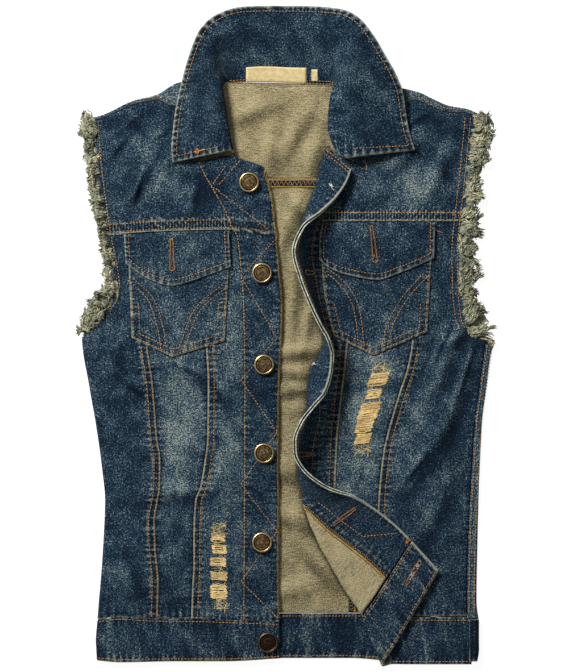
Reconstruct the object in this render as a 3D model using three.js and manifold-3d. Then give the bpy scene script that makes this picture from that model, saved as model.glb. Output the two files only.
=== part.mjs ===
// A sleeveless denim jacket lying face up, with its front open and raw, frayed armholes.
// Millimetres. x runs across the garment from its centre back line, y up from the hem towards the
// collar, and z up from the surface that it lies on. Left and right are the wearer's.
import * as THREE from 'three';
import { mergeVertices } from 'three/addons/utils/BufferGeometryUtils.js';
import Module from 'manifold-3d';

const wasm = await Module();
wasm.setup();

// Driving dimensions
const CLOTH = 1.2;             // one ply of denim
const DOUBLE = 2.4;            // two plies sewn together: placket, waistband and collar
const SEAM_GAP = 0.3;          // between neighbouring pieces
const BACK_MID = CLOTH / 2;    // middle of the back's cloth, which lies on the surface
const FRONT_MID = 3.4;         // middle of the front's cloth where it meets a side fold
const FRONT_RISE = 1.8;        // how much higher the front lies away from its edges
const RISE_REACH = 45;         // distance over which the front rises from an edge
const FOLD_LIP = 12;           // cloth that passes under the side fold
const RIDGE_WIDTH = 8;         // felled seam, seen as a raised band beside the seam line
const RIDGE_HEIGHT = 0.8;
const PLACKET_WIDTH = 38;      // front edge to the placket's inner row of stitches
const BUTTON_RADIUS = 10;
const POCKET_GAP = 0.6;        // between a pocket and the panel under it
const FLAP_CLOTH = 1.8;
const FRAY_STRIP = 2;          // width of the strip that the frayed ends grow from
const FRAY_LOCKS = 20;         // locks of frayed ends on each edge of each armhole

const COLOURS = {
  denim: [0x2e4358, 0.9, 0],
  dark_denim: [0x243649, 0.9, 0],
  faded_denim: [0x4b6070, 0.92, 0],
  collar: [0x30465a, 0.9, 0],
  wrong_side: [0x8b8060, 0.95, 0],
  fray: [0x7d7f6c, 0.97, 0],
  brass: [0xa08c5e, 0.35, 1],
  bronze: [0x3c2e28, 0.4, 1],
  label: [0xcab888, 0.8, 0],
};

// A table has named columns and one row for each section.
const table = (names, ...rows) => rows.map((row) => Object.fromEntries(names.map((n, i) => [n, row[i]])));

// A smooth curve through a table's rows that never overshoots them, held level past its ends.
function through(rows, keyName, valueName) {
  const sorted = [...rows].sort((a, b) => a[keyName] - b[keyName]);
  const k = sorted.map((r) => r[keyName]);
  const v = sorted.map((r) => r[valueName]);
  const last = k.length - 1;
  const slope = k.slice(1).map((key, i) => (v[i + 1] - v[i]) / (key - k[i]));
  const tangent = k.map((key, i) => {
    if (i === 0 || i === last) return slope[i === 0 ? 0 : last - 1];
    const [a, b] = [slope[i - 1], slope[i]];
    return a * b <= 0 ? 0 : (2 * a * b) / (a + b);
  });
  return (key) => {
    if (key <= k[0]) return v[0];
    if (key >= k[last]) return v[last];
    let i = 0;
    while (key > k[i + 1]) i += 1;
    const h = k[i + 1] - k[i];
    const t = (key - k[i]) / h;
    return v[i] * (1 + 2 * t) * (1 - t) ** 2 + tangent[i] * h * t * (1 - t) ** 2
      + v[i + 1] * t * t * (3 - 2 * t) + tangent[i + 1] * h * t * t * (t - 1);
  };
}

const mix = (a, b, t) => a + (b - a) * t;
const clamp01 = (t) => Math.min(1, Math.max(0, t));
const smooth = (t) => clamp01(t) ** 2 * (3 - 2 * clamp01(t));
const steps = (count) => Array.from({ length: count + 1 }, (_, i) => i / count);
const point = (x, y, z) => new THREE.Vector3(x, y, z);

// The garment's outlines, as x across for a height y above the hem
const rightOutline = through(table(['y', 'x'],
  [5, -192], [27, -193], [46, -192], [62, -190.5], [111, -186.5], [167, -184], [199, -187], [242, -193],
  [282, -200], [329, -207], [334, -205], [349, -195], [362, -183], [377, -177], [397, -179], [432, -186],
  [467, -191], [507, -196], [549, -199]), 'y', 'x');
const leftOutline = through(table(['y', 'x'],
  [5, 188], [19, 190], [48, 190], [70, 187.5], [118, 188.3], [183, 190], [215, 191.5], [245, 193],
  [283, 197.7], [314, 202], [326, 206], [331, 196], [336, 184], [352, 177.7], [383, 175.4], [413, 174.7],
  [444, 177], [477, 181], [507, 184], [554, 188.5]), 'y', 'x');
const ARMPIT = { right: 330, left: 326 };   // heights of the lowest points of the armholes
const leftSideSeam = through(table(['y', 'x'],
  [45, 178], [70, 178], [134, 179.5], [183, 182], [215, 184], [247, 186], [276, 190], [326, 197]), 'y', 'x');

// Heights of the rows along the armholes, below the yokes
const ARMHOLE_LEVELS = {
  right: [332, 338, 344, 350, 356, 362, 369, 378, 390, 404, 420],
  left: [328.5, 332, 336, 341, 347, 354, 364, 377, 394, 412, 430],
};
const SIDE_LEVELS = [72, 100, 128, 156, 184, 212, 238, 247, 256, 270, 285, 306];

// The left front's outer edge: its side seam, and above that the armhole
const leftArmholeFront = (y) => {
  if (y < ARMPIT.left) return leftSideSeam(y);
  return y > 340 ? leftOutline(y) : Math.min(leftOutline(y), leftSideSeam(y) - (y - ARMPIT.left) * 1.3);
};

// Seams that run down the fronts
const rightOuterSeam = through(table(['y', 'x'],
  [46, -131], [86, -130], [118, -132.7], [147, -133.5], [163, -131], [178, -128.6], [207, -128], [227, -131],
  [283, -135.6], [321, -141], [437, -150]), 'y', 'x');
const rightInnerSeam = through(table(['y', 'x'],
  [46, -98], [78, -97], [102, -95.7], [134, -95.7], [167, -94], [179, -89.3], [207, -84.4], [227, -82],
  [283, -81.3], [320, -83], [437, -86]), 'y', 'x');
const rightPlacketSeam = through(table(['y', 'x'],
  [46, -46], [283, -45], [360, -46], [390, -48], [432, -53], [438, -57], [455, -64], [479, -77.5],
  [498, -88], [508, -92]), 'y', 'x');
const rightFrontEdge = through(table(['y', 'x'],
  [8, -8.5], [46, -10], [100, -11], [150, -10.5], [227, -11], [283, -10], [329, -8], [360, -7],
  [398, -10], [433, -13], [467, -17], [501, -26]), 'y', 'x');
const leftInnerSeam = through(table(['y', 'x'],
  [50, 84], [77, 68], [101, 57], [123, 52], [150, 49], [181, 47], [215, 48.5], [227, 49],
  [268, 53], [299, 57], [321, 59], [446, 64]), 'y', 'x');
const leftOuterSeam = through(table(['y', 'x'],
  [50, 92], [100, 88], [160, 88.7], [183, 90.3], [215, 93.5], [247, 99], [253, 104], [276, 112],
  [299, 118], [325, 122.6], [446, 128]), 'y', 'x');
const backSeamX = through(table(['y', 'x'], [9, 58], [54, 60], [300, 70], [487, 84]), 'y', 'x');

// Seams and edges that run across, as y for a place x
const rightYokeSeam = through(table(['x', 'y'],
  [-186, 432], [-122, 435.6], [-62, 437], [-13, 432]), 'x', 'y');
const leftYokeSeam = () => 445.5;
const rightWaistSeam = through(table(['x', 'y'],
  [-192, 48], [-169, 51], [-137, 49], [-96, 48.5], [-10, 45.3]), 'x', 'y');
const leftWaistSeam = () => 51;
const backWaistSeam = () => 54;
const rightHem = through(table(['x', 'y'], [-193, 7], [-169, 5], [-112, 6], [-64, 6], [-8, 9]), 'x', 'y');
const backHem = through(table(['x', 'y'], [-193, 7], [-60, 9], [60, 9], [120, 5], [191, 6]), 'x', 'y');
const backYokeSeam = () => 487;
// The back's upper edge: along the shoulder folds and, between them, the neckline
const backTop = through(table(['x', 'y'],
  [-199, 549], [-188, 551.5], [-155, 566.5], [-133, 572], [-110, 584.5], [-90, 587], [-72, 583.5],
  [-60, 583], [40, 581.5], [52, 581.5], [70, 584], [90, 583], [114, 578.5], [129, 575], [144, 568],
  [159, 561.5], [178, 558], [190, 553]), 'x', 'y');
// How far the back's cloth comes over the shoulder fold on to the front
const shoulderLip = through(table(['x', 'lip'],
  [-199, 3], [-155, 4], [-133, 5], [-118, 20], [-100, 28], [-85, 22], [-79, 12], [-76, 0],
  [54, 0], [58, 12], [80, 20], [100, 18], [118, 13], [130, 8.5], [147, 8], [178, 4], [190, 3]), 'x', 'lip');
// The seam that joins front and back lies this far down the front from that edge.
const shoulderSeam = (x) => backTop(x) - Math.max(shoulderLip(x), 3) - 0.7
  - (x < 0 ? neckDrop.right(x) : neckDrop.left(x));
const neckDrop = {
  right: through(table(['x', 'drop'], [-84, 0], [-74, 8], [-64, 11]), 'x', 'drop'),
  left: through(table(['x', 'drop'], [40, 12], [52, 9], [66, 0]), 'x', 'drop'),
};
const rightNeckline = through(table(['y', 'x'],
  [508, -92], [515, -64], [531, -63.5], [550, -66.5], [566, -69], [574, -70.5]), 'y', 'x');
const rightPlacketTop = through(table(['x', 'y'],
  [-92, 505], [-78, 508], [-62, 511.5], [-44, 507], [-26, 501]), 'x', 'y');

// Creases that stand up from the front: centre, direction of the crease in degrees from x, half its
// length, half its width, and height
const creases = table(['x', 'y', 'turn', 'long', 'wide', 'high'],
  [-176, 312, -8, 38, 13, 2.4], [-160, 288, -38, 34, 12, 2.0], [-172, 262, -58, 26, 12, 1.4],
  [-118, 290, 14, 30, 14, 1.0], [-60, 272, -52, 34, 13, 2.0], [-70, 180, 24, 34, 15, 1.8],
  [-150, 176, 4, 34, 14, 1.6], [-160, 96, 62, 40, 15, 1.8], [-112, 108, 74, 30, 14, 1.2],
  [-150, 476, 58, 26, 12, 1.8], [-164, 540, -42, 24, 12, 1.8], [-120, 520, 66, 34, 14, 1.4],
  [-60, 100, -20, 26, 13, 1.4], [188, 306, 62, 34, 12, 2.2], [168, 272, 58, 52, 14, 2.4],
  [150, 232, 40, 38, 14, 1.6], [140, 190, 52, 46, 15, 1.8], [100, 262, 18, 28, 14, 1.0],
  [160, 128, 74, 44, 16, 1.4], [118, 516, 40, 32, 13, 1.8], [150, 486, 64, 34, 14, 1.4],
  [86, 470, 30, 26, 13, 1.4], [170, 540, -22, 18, 12, 1.4]);
function creaseHeight(x, y) {
  return creases.reduce((sum, c) => {
    const a = THREE.MathUtils.degToRad(c.turn);
    const along = ((x - c.x) * Math.cos(a) + (y - c.y) * Math.sin(a)) / c.long;
    const across = ((y - c.y) * Math.cos(a) - (x - c.x) * Math.sin(a)) / c.wide;
    return sum + c.high * Math.exp(-along * along - across * across);
  }, 0);
}

// Height of the middle of the front's cloth
function frontHeight(x, y) {
  const outline = x < 0 ? x - rightOutline(y) : leftOutline(y) - x;
  const free = x < 0 ? rightFrontEdge(y) - x : x - hingeX(y);
  const shoulder = backTop(x) - y;
  const inner = smooth(outline / RISE_REACH) * smooth((free + 10) / RISE_REACH)
    * smooth((shoulder + 5) / RISE_REACH);
  const waist = smooth((75 - y) / 24);
  return FRONT_MID + inner * (FRONT_RISE + creaseHeight(x, y)) * (1 - 0.7 * waist) + 1.3 * waist;
}

// The left front's free edge stands up and falls back on the front. Each row gives the height y of the
// cloth where it still lies flat, the hinge where it leaves the flat, the fold, and the free edge.
const turned = table(['y', 'hingeX', 'foldX', 'foldY', 'foldZ', 'edgeX', 'edgeY', 'edgeZ'],
  [520, 47, 39.3, 521, 8, 63, 499, 12],
  [500, 43, 32.3, 503, 8.5, 58, 485.5, 13],
  [480, 40, 27.3, 483, 9, 48, 470, 15],
  [460, 38, 20.5, 462, 12, 32, 454, 23],
  [440, 31, 13, 439, 15, 13.5, 439, 34],
  [415, 28, 12, 415, 17, 4.5, 415, 37],
  [390, 29, 18, 390, 17, 10.5, 390, 38],
  [365, 32, 24.5, 365, 17, 20.5, 364, 39],
  [342, 36, 31, 342, 18, 31, 342, 38],
  [328, 41, 35.5, 328, 16.5, 39, 328, 37],
  [312, 48, 31.5, 312, 11, 43.5, 312, 31],
  [295, 47, 22, 296, 10.5, 42.5, 297, 29],
  [276, 44, 19.5, 276, 11, 36, 275, 30],
  [262, 41, 18.5, 262, 13, 25, 262, 34],
  [245, 38, 17, 246, 16, 12.5, 246, 36],
  [227, 35, 13, 227, 16, 5.5, 227, 36],
  [213, 35, 9.5, 213, 14.5, 6, 214, 34],
  [197, 37, 9.5, 197, 12, 16.5, 196, 32],
  [177, 39, 13.5, 177, 10.5, 41, 179, 27],
  [152, 40, 18.5, 152, 9.5, 64, 171.5, 20],
  [123, 46, 30.5, 123, 9, 78, 164, 15],
  [101, 54, 42.5, 101, 8.7, 91, 155, 12.5],
  [77, 66, 56.5, 77, 8.5, 106, 143, 11],
  [51, 82, 73.5, 51, 8.7, 122, 127, 10.5],
  [27, 92, 83.5, 26, 8.7, 136, 112, 10],
  [3, 102, 93.5, 1.5, 8.7, 149.5, 97, 9.8]);
const turnedColumns = Object.fromEntries(Object.keys(turned[0])
  .map((name) => [name, through(turned, 'y', name)]));
const hingeX = turnedColumns.hingeX;
const FLAT_RUN = 14;     // the cloth is flat this far beyond its hinge

// The path of the left front's cloth at height y: from the free edge, over the fold, on to the flat.
const pathCache = new Map();
function turnedPath(y) {
  if (pathCache.has(y)) return pathCache.get(y);
  const c = Object.fromEntries(Object.entries(turnedColumns).map(([name, f]) => [name, f(y)]));
  const flatX = c.hingeX + FLAT_RUN;
  const edge = point(c.edgeX, c.edgeY, c.edgeZ);
  const fold = point(c.foldX, c.foldY, c.foldZ);
  const crown = fold.clone().lerp(edge, 0.25).add(point(0, 0, 1.4));
  const hinge = point(c.hingeX, y, frontHeight(c.hingeX, y));
  const flat = point(flatX, y, frontHeight(flatX, y));
  const curve = new THREE.CatmullRomCurve3([edge, crown, fold, hinge, flat], false, 'centripetal');
  curve.arcLengthDivisions = 200;
  const length = curve.getLength();
  // Distance from the free edge to the fold, the leftmost place on the path
  const samples = steps(500).map((t) => ({ d: t * length, x: curve.getPointAt(t).x }));
  const foldAt = samples.reduce((a, b) => (b.x < a.x ? b : a)).d;
  const path = {
    flatX,
    length,
    foldAt,
    at: (d) => (d >= length
      ? point(flatX + d - length, y, frontHeight(flatX + d - length, y))
      : curve.getPointAt(clamp01(d / length))),
  };
  pathCache.set(y, path);
  return path;
}
// Distance along that path to a place x on the flat
const alongTo = (y, x) => turnedPath(y).length + x - turnedPath(y).flatX;
// The direction that the cloth's outer face looks in, at a distance d from the free edge
function turnedNormal(y, d) {
  const across = turnedPath(y).at(d + 1).sub(turnedPath(y).at(Math.max(d - 1, 0)));
  const up = turnedPath(y + 2).at(d).sub(turnedPath(y - 2).at(d));
  return across.cross(up).normalize();
}
// A wall that follows the turned cloth: one row for each height, and places(y) gives its distances
function turnedWall(heights, places, thickness) {
  const grid = heights.map((y) => places(y).map((d) => turnedPath(y).at(d)));
  const normals = heights.map((y) => places(y).map((d) => turnedNormal(y, d)));
  return wall(grid, thickness, () => 0, normals);
}
// Height of the middle of the left front's cloth over a place on its flat or on the rise beside it
function leftHeight(x, y) {
  const path = turnedPath(y);
  if (x >= path.flatX) return frontHeight(x, y);
  let [low, high] = [path.length * 0.45, path.length];
  for (let i = 0; i < 24; i += 1) {
    const middle = (low + high) / 2;
    if (path.at(middle).x < x) low = middle; else high = middle;
  }
  return path.at(low).z;
}

// Turns a grid of points into a closed wall. Rows run with y and columns with x, so that the front of
// the cloth is the side that the grid's normals point to. raise lifts that side only.
function wall(grid, thickness, raise = () => 0, normals = null) {
  const rows = grid.length;
  const cols = grid[0].length;
  const positions = [];
  const normalAt = (j, i) => {
    if (normals) return normals[j][i];
    const across = grid[j][Math.min(i + 1, cols - 1)].clone().sub(grid[j][Math.max(i - 1, 0)]);
    const up = grid[Math.min(j + 1, rows - 1)][i].clone().sub(grid[Math.max(j - 1, 0)][i]);
    return across.cross(up).normalize();
  };
  for (const side of [-1, 1]) {
    for (let j = 0; j < rows; j += 1) {
      for (let i = 0; i < cols; i += 1) {
        const offset = side * thickness / 2 + (side > 0 ? raise(j, i) : 0);
        const p = grid[j][i].clone().addScaledVector(normalAt(j, i), offset);
        positions.push(p.x, p.y, p.z);
      }
    }
  }
  const index = [];
  const under = (j, i) => j * cols + i;
  const upper = (j, i) => rows * cols + j * cols + i;
  const quad = (a, b, c, d) => index.push(a, b, c, a, c, d);
  for (let j = 0; j < rows - 1; j += 1) {
    for (let i = 0; i < cols - 1; i += 1) {
      quad(upper(j, i), upper(j, i + 1), upper(j + 1, i + 1), upper(j + 1, i));
      quad(under(j, i), under(j + 1, i), under(j + 1, i + 1), under(j, i + 1));
    }
  }
  for (let i = 0; i < cols - 1; i += 1) {
    quad(under(0, i), under(0, i + 1), upper(0, i + 1), upper(0, i));
    quad(under(rows - 1, i + 1), under(rows - 1, i), upper(rows - 1, i), upper(rows - 1, i + 1));
  }
  for (let j = 0; j < rows - 1; j += 1) {
    quad(under(j + 1, 0), under(j, 0), upper(j, 0), upper(j + 1, 0));
    quad(under(j, cols - 1), under(j + 1, cols - 1), upper(j + 1, cols - 1), upper(j, cols - 1));
  }
  const geometry = new THREE.BufferGeometry();
  geometry.setAttribute('position', new THREE.Float32BufferAttribute(positions, 3));
  geometry.setIndex(index);
  return geometry;
}

// Places across a panel, in mm from its left edge: a ridge beside an edge gets columns of its own.
function placesAcross(width, count, ridgeLeft, ridgeRight) {
  const ridge = [RIDGE_WIDTH, RIDGE_WIDTH + 1];
  const start = ridgeLeft ? [0, ...ridge] : [0];
  const end = ridgeRight ? [...ridge].reverse().map((r) => width - r).concat(width) : [width];
  const [a, b] = [start[start.length - 1], end[0]];
  return [...start, ...steps(count).slice(1, -1).map((t) => mix(a, b, t)), ...end];
}

// A panel of the garment between two edges given by y and two given by x. Its rows lie at the given
// levels, apart from the first and last, which follow the edges; without levels the rows are blended
// between those two. cols is a count, or a list of shares of the panel's width.
function panel({ left, right, bottom, top, cols, rows, levels, height, thickness = CLOTH, gap = SEAM_GAP / 2,
  ridgeLeft, ridgeRight, ridgeUpTo = 0 }) {
  const shares = levels ? [0, ...levels.map(() => null), 1] : Array.isArray(rows) ? rows : steps(rows);
  const across = (width) => (Array.isArray(cols)
    ? cols.map((c) => c * width)
    : placesAcross(width, cols, ridgeLeft, ridgeRight));
  const grid = shares.map((v, j) => across(100).map((_, i) => {
    let x = (left(bottom(0)) + right(bottom(0))) / 2;
    let y = 0;
    for (let pass = 0; pass < 6; pass += 1) {
      y = v === null ? levels[j - 1] : mix(bottom(x) + gap, top(x) - gap, v);
      const [from, to] = [left(y) + gap, right(y) - gap];
      x = from + across(to - from)[i];
    }
    return point(x, y, height(x, y));
  }));
  const last = grid[0].length - 1;
  const raise = (j, i) => {
    const onRidge = (ridgeLeft && i <= 1) || (ridgeRight && i >= last - 1);
    return onRidge && grid[j][i].y < ridgeUpTo ? RIDGE_HEIGHT : 0;
  };
  return wall(grid, thickness, raise);
}

const vest = new THREE.Group();
const materials = {};
function add(name, colour, geometry) {
  const [color, roughness, metalness] = COLOURS[colour];
  materials[colour] ??= new THREE.MeshStandardMaterial({ color, roughness, metalness });
  const mesh = new THREE.Mesh(geometry, materials[colour]);
  mesh.name = name;
  vest.add(mesh);
  return mesh;
}

// Back: it lies on the surface with its outer face down.
const backHeight = () => BACK_MID;

// A row of cloth that goes from the flat round a side fold and back over itself. sign is the side that
// the fold is on, flatZ the middle of the first layer and overZ of the second.
function roundSide(from, outline, back, sign, flatZ, overZ, flats, laps) {
  const r = (overZ - flatZ) / 2;
  const centre = outline - sign * (Math.abs(r) + CLOTH / 2);
  const y = from.y;
  const flat = steps(flats).map((t) => point(mix(from.x, centre, t), y, flatZ));
  const arc = [45, 90, 135, 180].map((a) => {
    const t = THREE.MathUtils.degToRad(a);
    return point(centre + sign * Math.abs(r) * Math.sin(t), y, (flatZ + overZ) / 2 - r * Math.cos(t));
  });
  const over = steps(laps).slice(1).map((t) => point(mix(centre, back, t), y, overZ));
  return [...flat, ...arc, ...over];
}

// Spreads as many points along a straight row as a folded row has, so that rows above the armpit match.
function straightRow(x0, x1, y, z0, z1, like) {
  const count = like - 1;
  return steps(count).map((t) => point(mix(x0, x1, t), y, mix(z0, z1, t)));
}

function backSide(sign) {
  const outline = sign < 0 ? rightOutline : leftOutline;
  const armpit = sign < 0 ? ARMPIT.right : ARMPIT.left;
  const half = SEAM_GAP / 2;
  const heights = [54 + half, ...SIDE_LEVELS, armpit - 1.5, ...ARMHOLE_LEVELS[sign < 0 ? 'right' : 'left'],
    447, 467, 487 - half];
  const grid = heights.map((y) => {
    const inner = sign * backSeamX(y) + sign * half;
    if (sign > 0) {
      const lap = leftSideSeam(y) + half;
      const folded = roundSide(point(inner, y, 0), outline(y), lap, 1, BACK_MID, FRONT_MID, 3, 1);
      return y < armpit ? folded : straightRow(inner, outline(y), y, BACK_MID, BACK_MID, folded.length);
    }
    const lipEdge = outline(y) + (FRONT_MID - BACK_MID) / 2 + CLOTH / 2 + FOLD_LIP + 2 * SEAM_GAP;
    const outer = y < armpit ? lipEdge : outline(y);
    return straightRow(inner, outer, y, BACK_MID, BACK_MID, 7);
  });
  return wall(sign > 0 ? grid : grid.map((row) => [...row].reverse()), CLOTH);
}

add('back_centre', 'wrong_side', panel({
  left: (y) => -backSeamX(y), right: backSeamX, bottom: backWaistSeam, top: backYokeSeam,
  cols: 4, rows: 9, height: backHeight,
}));
add('back_side_right', 'wrong_side', backSide(-1));
add('back_side_left', 'wrong_side', backSide(1));

// The yoke's columns run up from its seam to the shoulder, over the shoulder fold and down to the
// shoulder seam. Between the shoulders they end at the neckline.
function backYoke() {
  const r = (FRONT_MID - BACK_MID) / 2;
  const xs = [-198, -190, -176, -160, -146, -133, -125, -117, -108, -96, -86, -80, -76, -50, -10, 30, 54,
    58, 68, 84, 100, 114, 126, 138, 150, 162, 176, 188];
  const columns = xs.map((x) => {
    const seam = backYokeSeam() + SEAM_GAP / 2;
    const lip = shoulderLip(x) - SEAM_GAP / 2;
    const top = backTop(x);
    const level = (t) => (x < 0
      ? Math.max(x, rightOutline(mix(seam, top, t)))
      : Math.min(x, leftOutline(mix(seam, top, t))));
    const turn = top - r - CLOTH / 2;
    const flat = steps(4).map((t) => point(level(t), mix(seam, lip > 2 ? turn : top - 4, t), BACK_MID));
    if (lip <= 2) {
      return [...flat, ...[3.2, 2.4, 1.6, 0.8, 0].map((d) => point(x, top - d, BACK_MID))];
    }
    const arc = [45, 90, 135].map((a) => {
      const t = THREE.MathUtils.degToRad(a);
      return point(x, turn + r * Math.sin(t), BACK_MID + r - r * Math.cos(t));
    });
    const end = top - Math.max(lip, r + CLOTH / 2 + 0.6);
    return [...flat, ...arc, point(x, mix(turn, end, 0.4), FRONT_MID), point(x, end, FRONT_MID)];
  });
  const rows = columns[0].map((_, j) => columns.map((column) => column[j]));
  return wall(rows, CLOTH);
}
add('back_yoke', 'wrong_side', backYoke());

// Waistbands, two plies thick. Where they pass a side they go round it in one fold.
const BAND_BACK = DOUBLE / 2;
const BAND_FRONT = BAND_BACK + DOUBLE + 1.6;
function bandRow(y, innerX, outline, back, sign, flatZ, overZ) {
  const r = (overZ - flatZ) / 2;
  const centre = outline - sign * (Math.abs(r) + DOUBLE / 2);
  const flat = steps(8).map((t) => point(mix(innerX, centre, t), y, flatZ));
  const arc = [45, 90, 135, 180].map((a) => {
    const t = THREE.MathUtils.degToRad(a);
    return point(centre + sign * Math.abs(r) * Math.sin(t), y, (flatZ + overZ) / 2 - r * Math.cos(t));
  });
  return [...flat, ...arc, point(mix(centre, back, 0.5), y, overZ), point(back, y, overZ)];
}

const BACK_BAND_END = -176.5;     // the back waistband meets the right front's under the side fold
const TAB_EDGE = 180;           // and laps over the left front's end
add('back_waistband', 'dark_denim', (() => {
  const rows = steps(3).map((v) => {
    const y = mix(8.5, 54 - SEAM_GAP / 2, v);
    const overY = mix(6, 48, v);
    const row = bandRow(y, BACK_BAND_END + SEAM_GAP / 2, leftOutline(overY), TAB_EDGE, 1, BAND_BACK,
      BAND_FRONT + DOUBLE + 0.4);
    return row.map((p) => {
      const t = smooth((p.x - 100) / 80);
      return point(p.x, mix(mix(backHem(p.x), 54 - SEAM_GAP / 2, v), overY, t), p.z);
    });
  });
  return wall(rows, DOUBLE);
})());

add('right_front_waistband', 'dark_denim', (() => {
  const gap = SEAM_GAP / 2;
  const rows = steps(3).map((v) => {
    const yAt = (x) => mix(rightHem(x), rightWaistSeam(x) - gap, v);
    const outline = rightOutline(yAt(-192));
    const row = bandRow(0, rightFrontEdge(yAt(-9)), outline, BACK_BAND_END - gap, -1, BAND_FRONT, BAND_BACK);
    return row.map((p) => point(p.x, yAt(p.x), p.z)).reverse();
  });
  return wall(rows, DOUBLE);
})());

function bandPlaces(y) {
  const { foldAt, length } = turnedPath(y);
  const beyond = foldAt + 6;
  return [0, foldAt * 0.5, foldAt * 0.85, foldAt - 3, foldAt, foldAt + 3, beyond, mix(beyond, length, 0.5),
    length];
}
add('left_front_waistband', 'dark_denim', (() => {
  const heights = [3, 14, 26, 38, 46, 51 - 2 * SEAM_GAP];
  const grid = heights.map((y) => {
    const path = turnedPath(y);
    const onFold = bandPlaces(y).map((d) => path.at(d));
    const end = leftOutline(y) - 5.6;
    const flat = steps(4).slice(1).map((t) => {
      const x = mix(path.flatX, end, t);
      return point(x, y, mix(path.at(path.length).z, BAND_FRONT, smooth(t * 2)));
    });
    return [...onFold, ...flat];
  });
  const normals = grid.map((row, j) => row.map((p, i) => (i < bandPlaces(heights[j]).length
    ? turnedNormal(heights[j], bandPlaces(heights[j])[i])
    : point(0, 0, 1))));
  return wall(grid, DOUBLE, () => 0, normals);
})());

// Right front
const placketLift = (x, y) => frontHeight(x, y) + 0.3;
const rightLip = (y) => rightOutline(y) + (FRONT_MID - BACK_MID) / 2 + CLOTH / 2 + FOLD_LIP;
add('right_front_side', 'denim', (() => {
  const half = SEAM_GAP / 2;
  const levels = ['bottom', ...SIDE_LEVELS, ARMPIT.right - 1.5, ...ARMHOLE_LEVELS.right, 'top'];
  const grid = levels.map((level) => {
    const yAt = (x) => {
      if (level === 'bottom') return rightWaistSeam(x) + half;
      return level === 'top' ? rightYokeSeam(x) - half : level;
    };
    const middle = yAt(-160);
    const seam = rightOuterSeam(middle) - 0.3;
    const inside = [seam, seam - RIDGE_WIDTH, seam - RIDGE_WIDTH - 1];
    const outline = rightOutline(middle);
    const r = (FRONT_MID - BACK_MID) / 2;
    const centre = outline + r + CLOTH / 2;
    const below = middle < ARMPIT.right;
    const reach = below ? centre : outline + 9;
    const flats = steps(3).slice(1).map((t) => mix(inside[2], reach, t));
    const top = [...inside, ...flats].map((x) => point(x, yAt(x), frontHeight(x, yAt(x))));
    const wrap = below
      ? [...[45, 90, 135, 180].map((a) => {
        const t = THREE.MathUtils.degToRad(a);
        return point(centre - r * Math.sin(t), middle, BACK_MID + r + r * Math.cos(t));
      }), point(rightLip(middle), middle, BACK_MID)]
      : [7.2, 5.4, 3.6, 1.8, 0].map((d) => {
        const y = yAt(outline);
        return point(outline + d, y, frontHeight(outline + d, y));
      });
    return [...top, ...wrap].reverse();
  });
  const last = grid[0].length - 1;
  return wall(grid, CLOTH, (j, i) => (i >= last - 1 && grid[j][i].y < 300 ? RIDGE_HEIGHT : 0));
})());
add('right_front_middle', 'faded_denim', panel({
  left: rightOuterSeam, right: rightInnerSeam, bottom: rightWaistSeam, top: rightYokeSeam,
  cols: 4, levels: [...SIDE_LEVELS, 334, 352, 372, 392, 412], height: frontHeight,
}));
add('right_front_centre', 'denim', panel({
  left: rightInnerSeam, right: rightPlacketSeam, bottom: rightWaistSeam, top: rightYokeSeam,
  cols: 2, gap: 0.2, levels: [...SIDE_LEVELS, 334, 352, 372, 392, 412], height: frontHeight,
  ridgeLeft: true, ridgeUpTo: 300,
}));
add('right_front_yoke', 'faded_denim', panel({
  left: rightOutline, right: (y) => (y < 508 ? rightPlacketSeam(y) : rightNeckline(y)), bottom: rightYokeSeam,
  top: shoulderSeam, cols: 8, gap: 0.25, height: frontHeight,
  rows: [0, 0.12, 0.24, 0.36, 0.47, 0.56, 0.586, 0.6, 0.62, 0.64, 0.69, 0.76, 0.84, 0.92, 1],
}));
add('right_placket', 'dark_denim', panel({
  left: rightPlacketSeam, right: rightFrontEdge, bottom: rightWaistSeam, top: rightPlacketTop,
  cols: [0, 0.22, 0.46, 0.72, 1], height: placketLift, thickness: DOUBLE,
  rows: [...steps(17).map((t) => t * 0.82), 0.85, 0.88, 0.91, 0.94, 0.97, 1],
}));

// Left front
const TURNED_LEVELS = [64, 78, 92, 107, 122, 137, 152, 165, 177, 189, 201, 213, 225, 237, 249, 260, 271,
  283, 295, 307, 319, 331, 343, 356, 370, 386, 402, 418, 432];
add('left_placket', 'dark_denim', turnedWall(
  [51 + SEAM_GAP / 2, ...TURNED_LEVELS, 446, 458, 469, 480, 491, 503, 517],
  () => steps(5).map((t) => t * (PLACKET_WIDTH - SEAM_GAP / 2)), DOUBLE));
const centreLevels = [51 + 2 * SEAM_GAP, ...TURNED_LEVELS, 445.5 - SEAM_GAP / 2];
add('left_front_centre', 'denim', turnedWall(centreLevels, (y) => {
  const to = alongTo(y, leftInnerSeam(y)) - 0.3;
  const from = PLACKET_WIDTH + SEAM_GAP / 2;
  const fold = Math.min(Math.max(turnedPath(y).foldAt, from + 6), to - 10);
  return [from, mix(from, fold - 3, 0.6), fold - 3, fold, fold + 3, fold + 6, to];
}, CLOTH));
add('left_front_middle', 'faded_denim', panel({
  left: (y) => leftInnerSeam(y) + 0.1, right: (y) => leftOuterSeam(y) - 0.2,
  bottom: leftWaistSeam, top: leftYokeSeam,
  cols: 4, levels: [64, 78, 92, 107, 122, ...SIDE_LEVELS.slice(3), 331, 356, 386, 418], height: frontHeight,
}));
add('left_front_side', 'denim', panel({
  left: leftOuterSeam,
  right: leftArmholeFront,
  bottom: leftWaistSeam, top: leftYokeSeam, cols: 4, height: frontHeight, ridgeLeft: true, ridgeUpTo: 300,
  levels: [...SIDE_LEVELS, ARMPIT.left - 1.5, ...ARMHOLE_LEVELS.left],
}));
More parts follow.
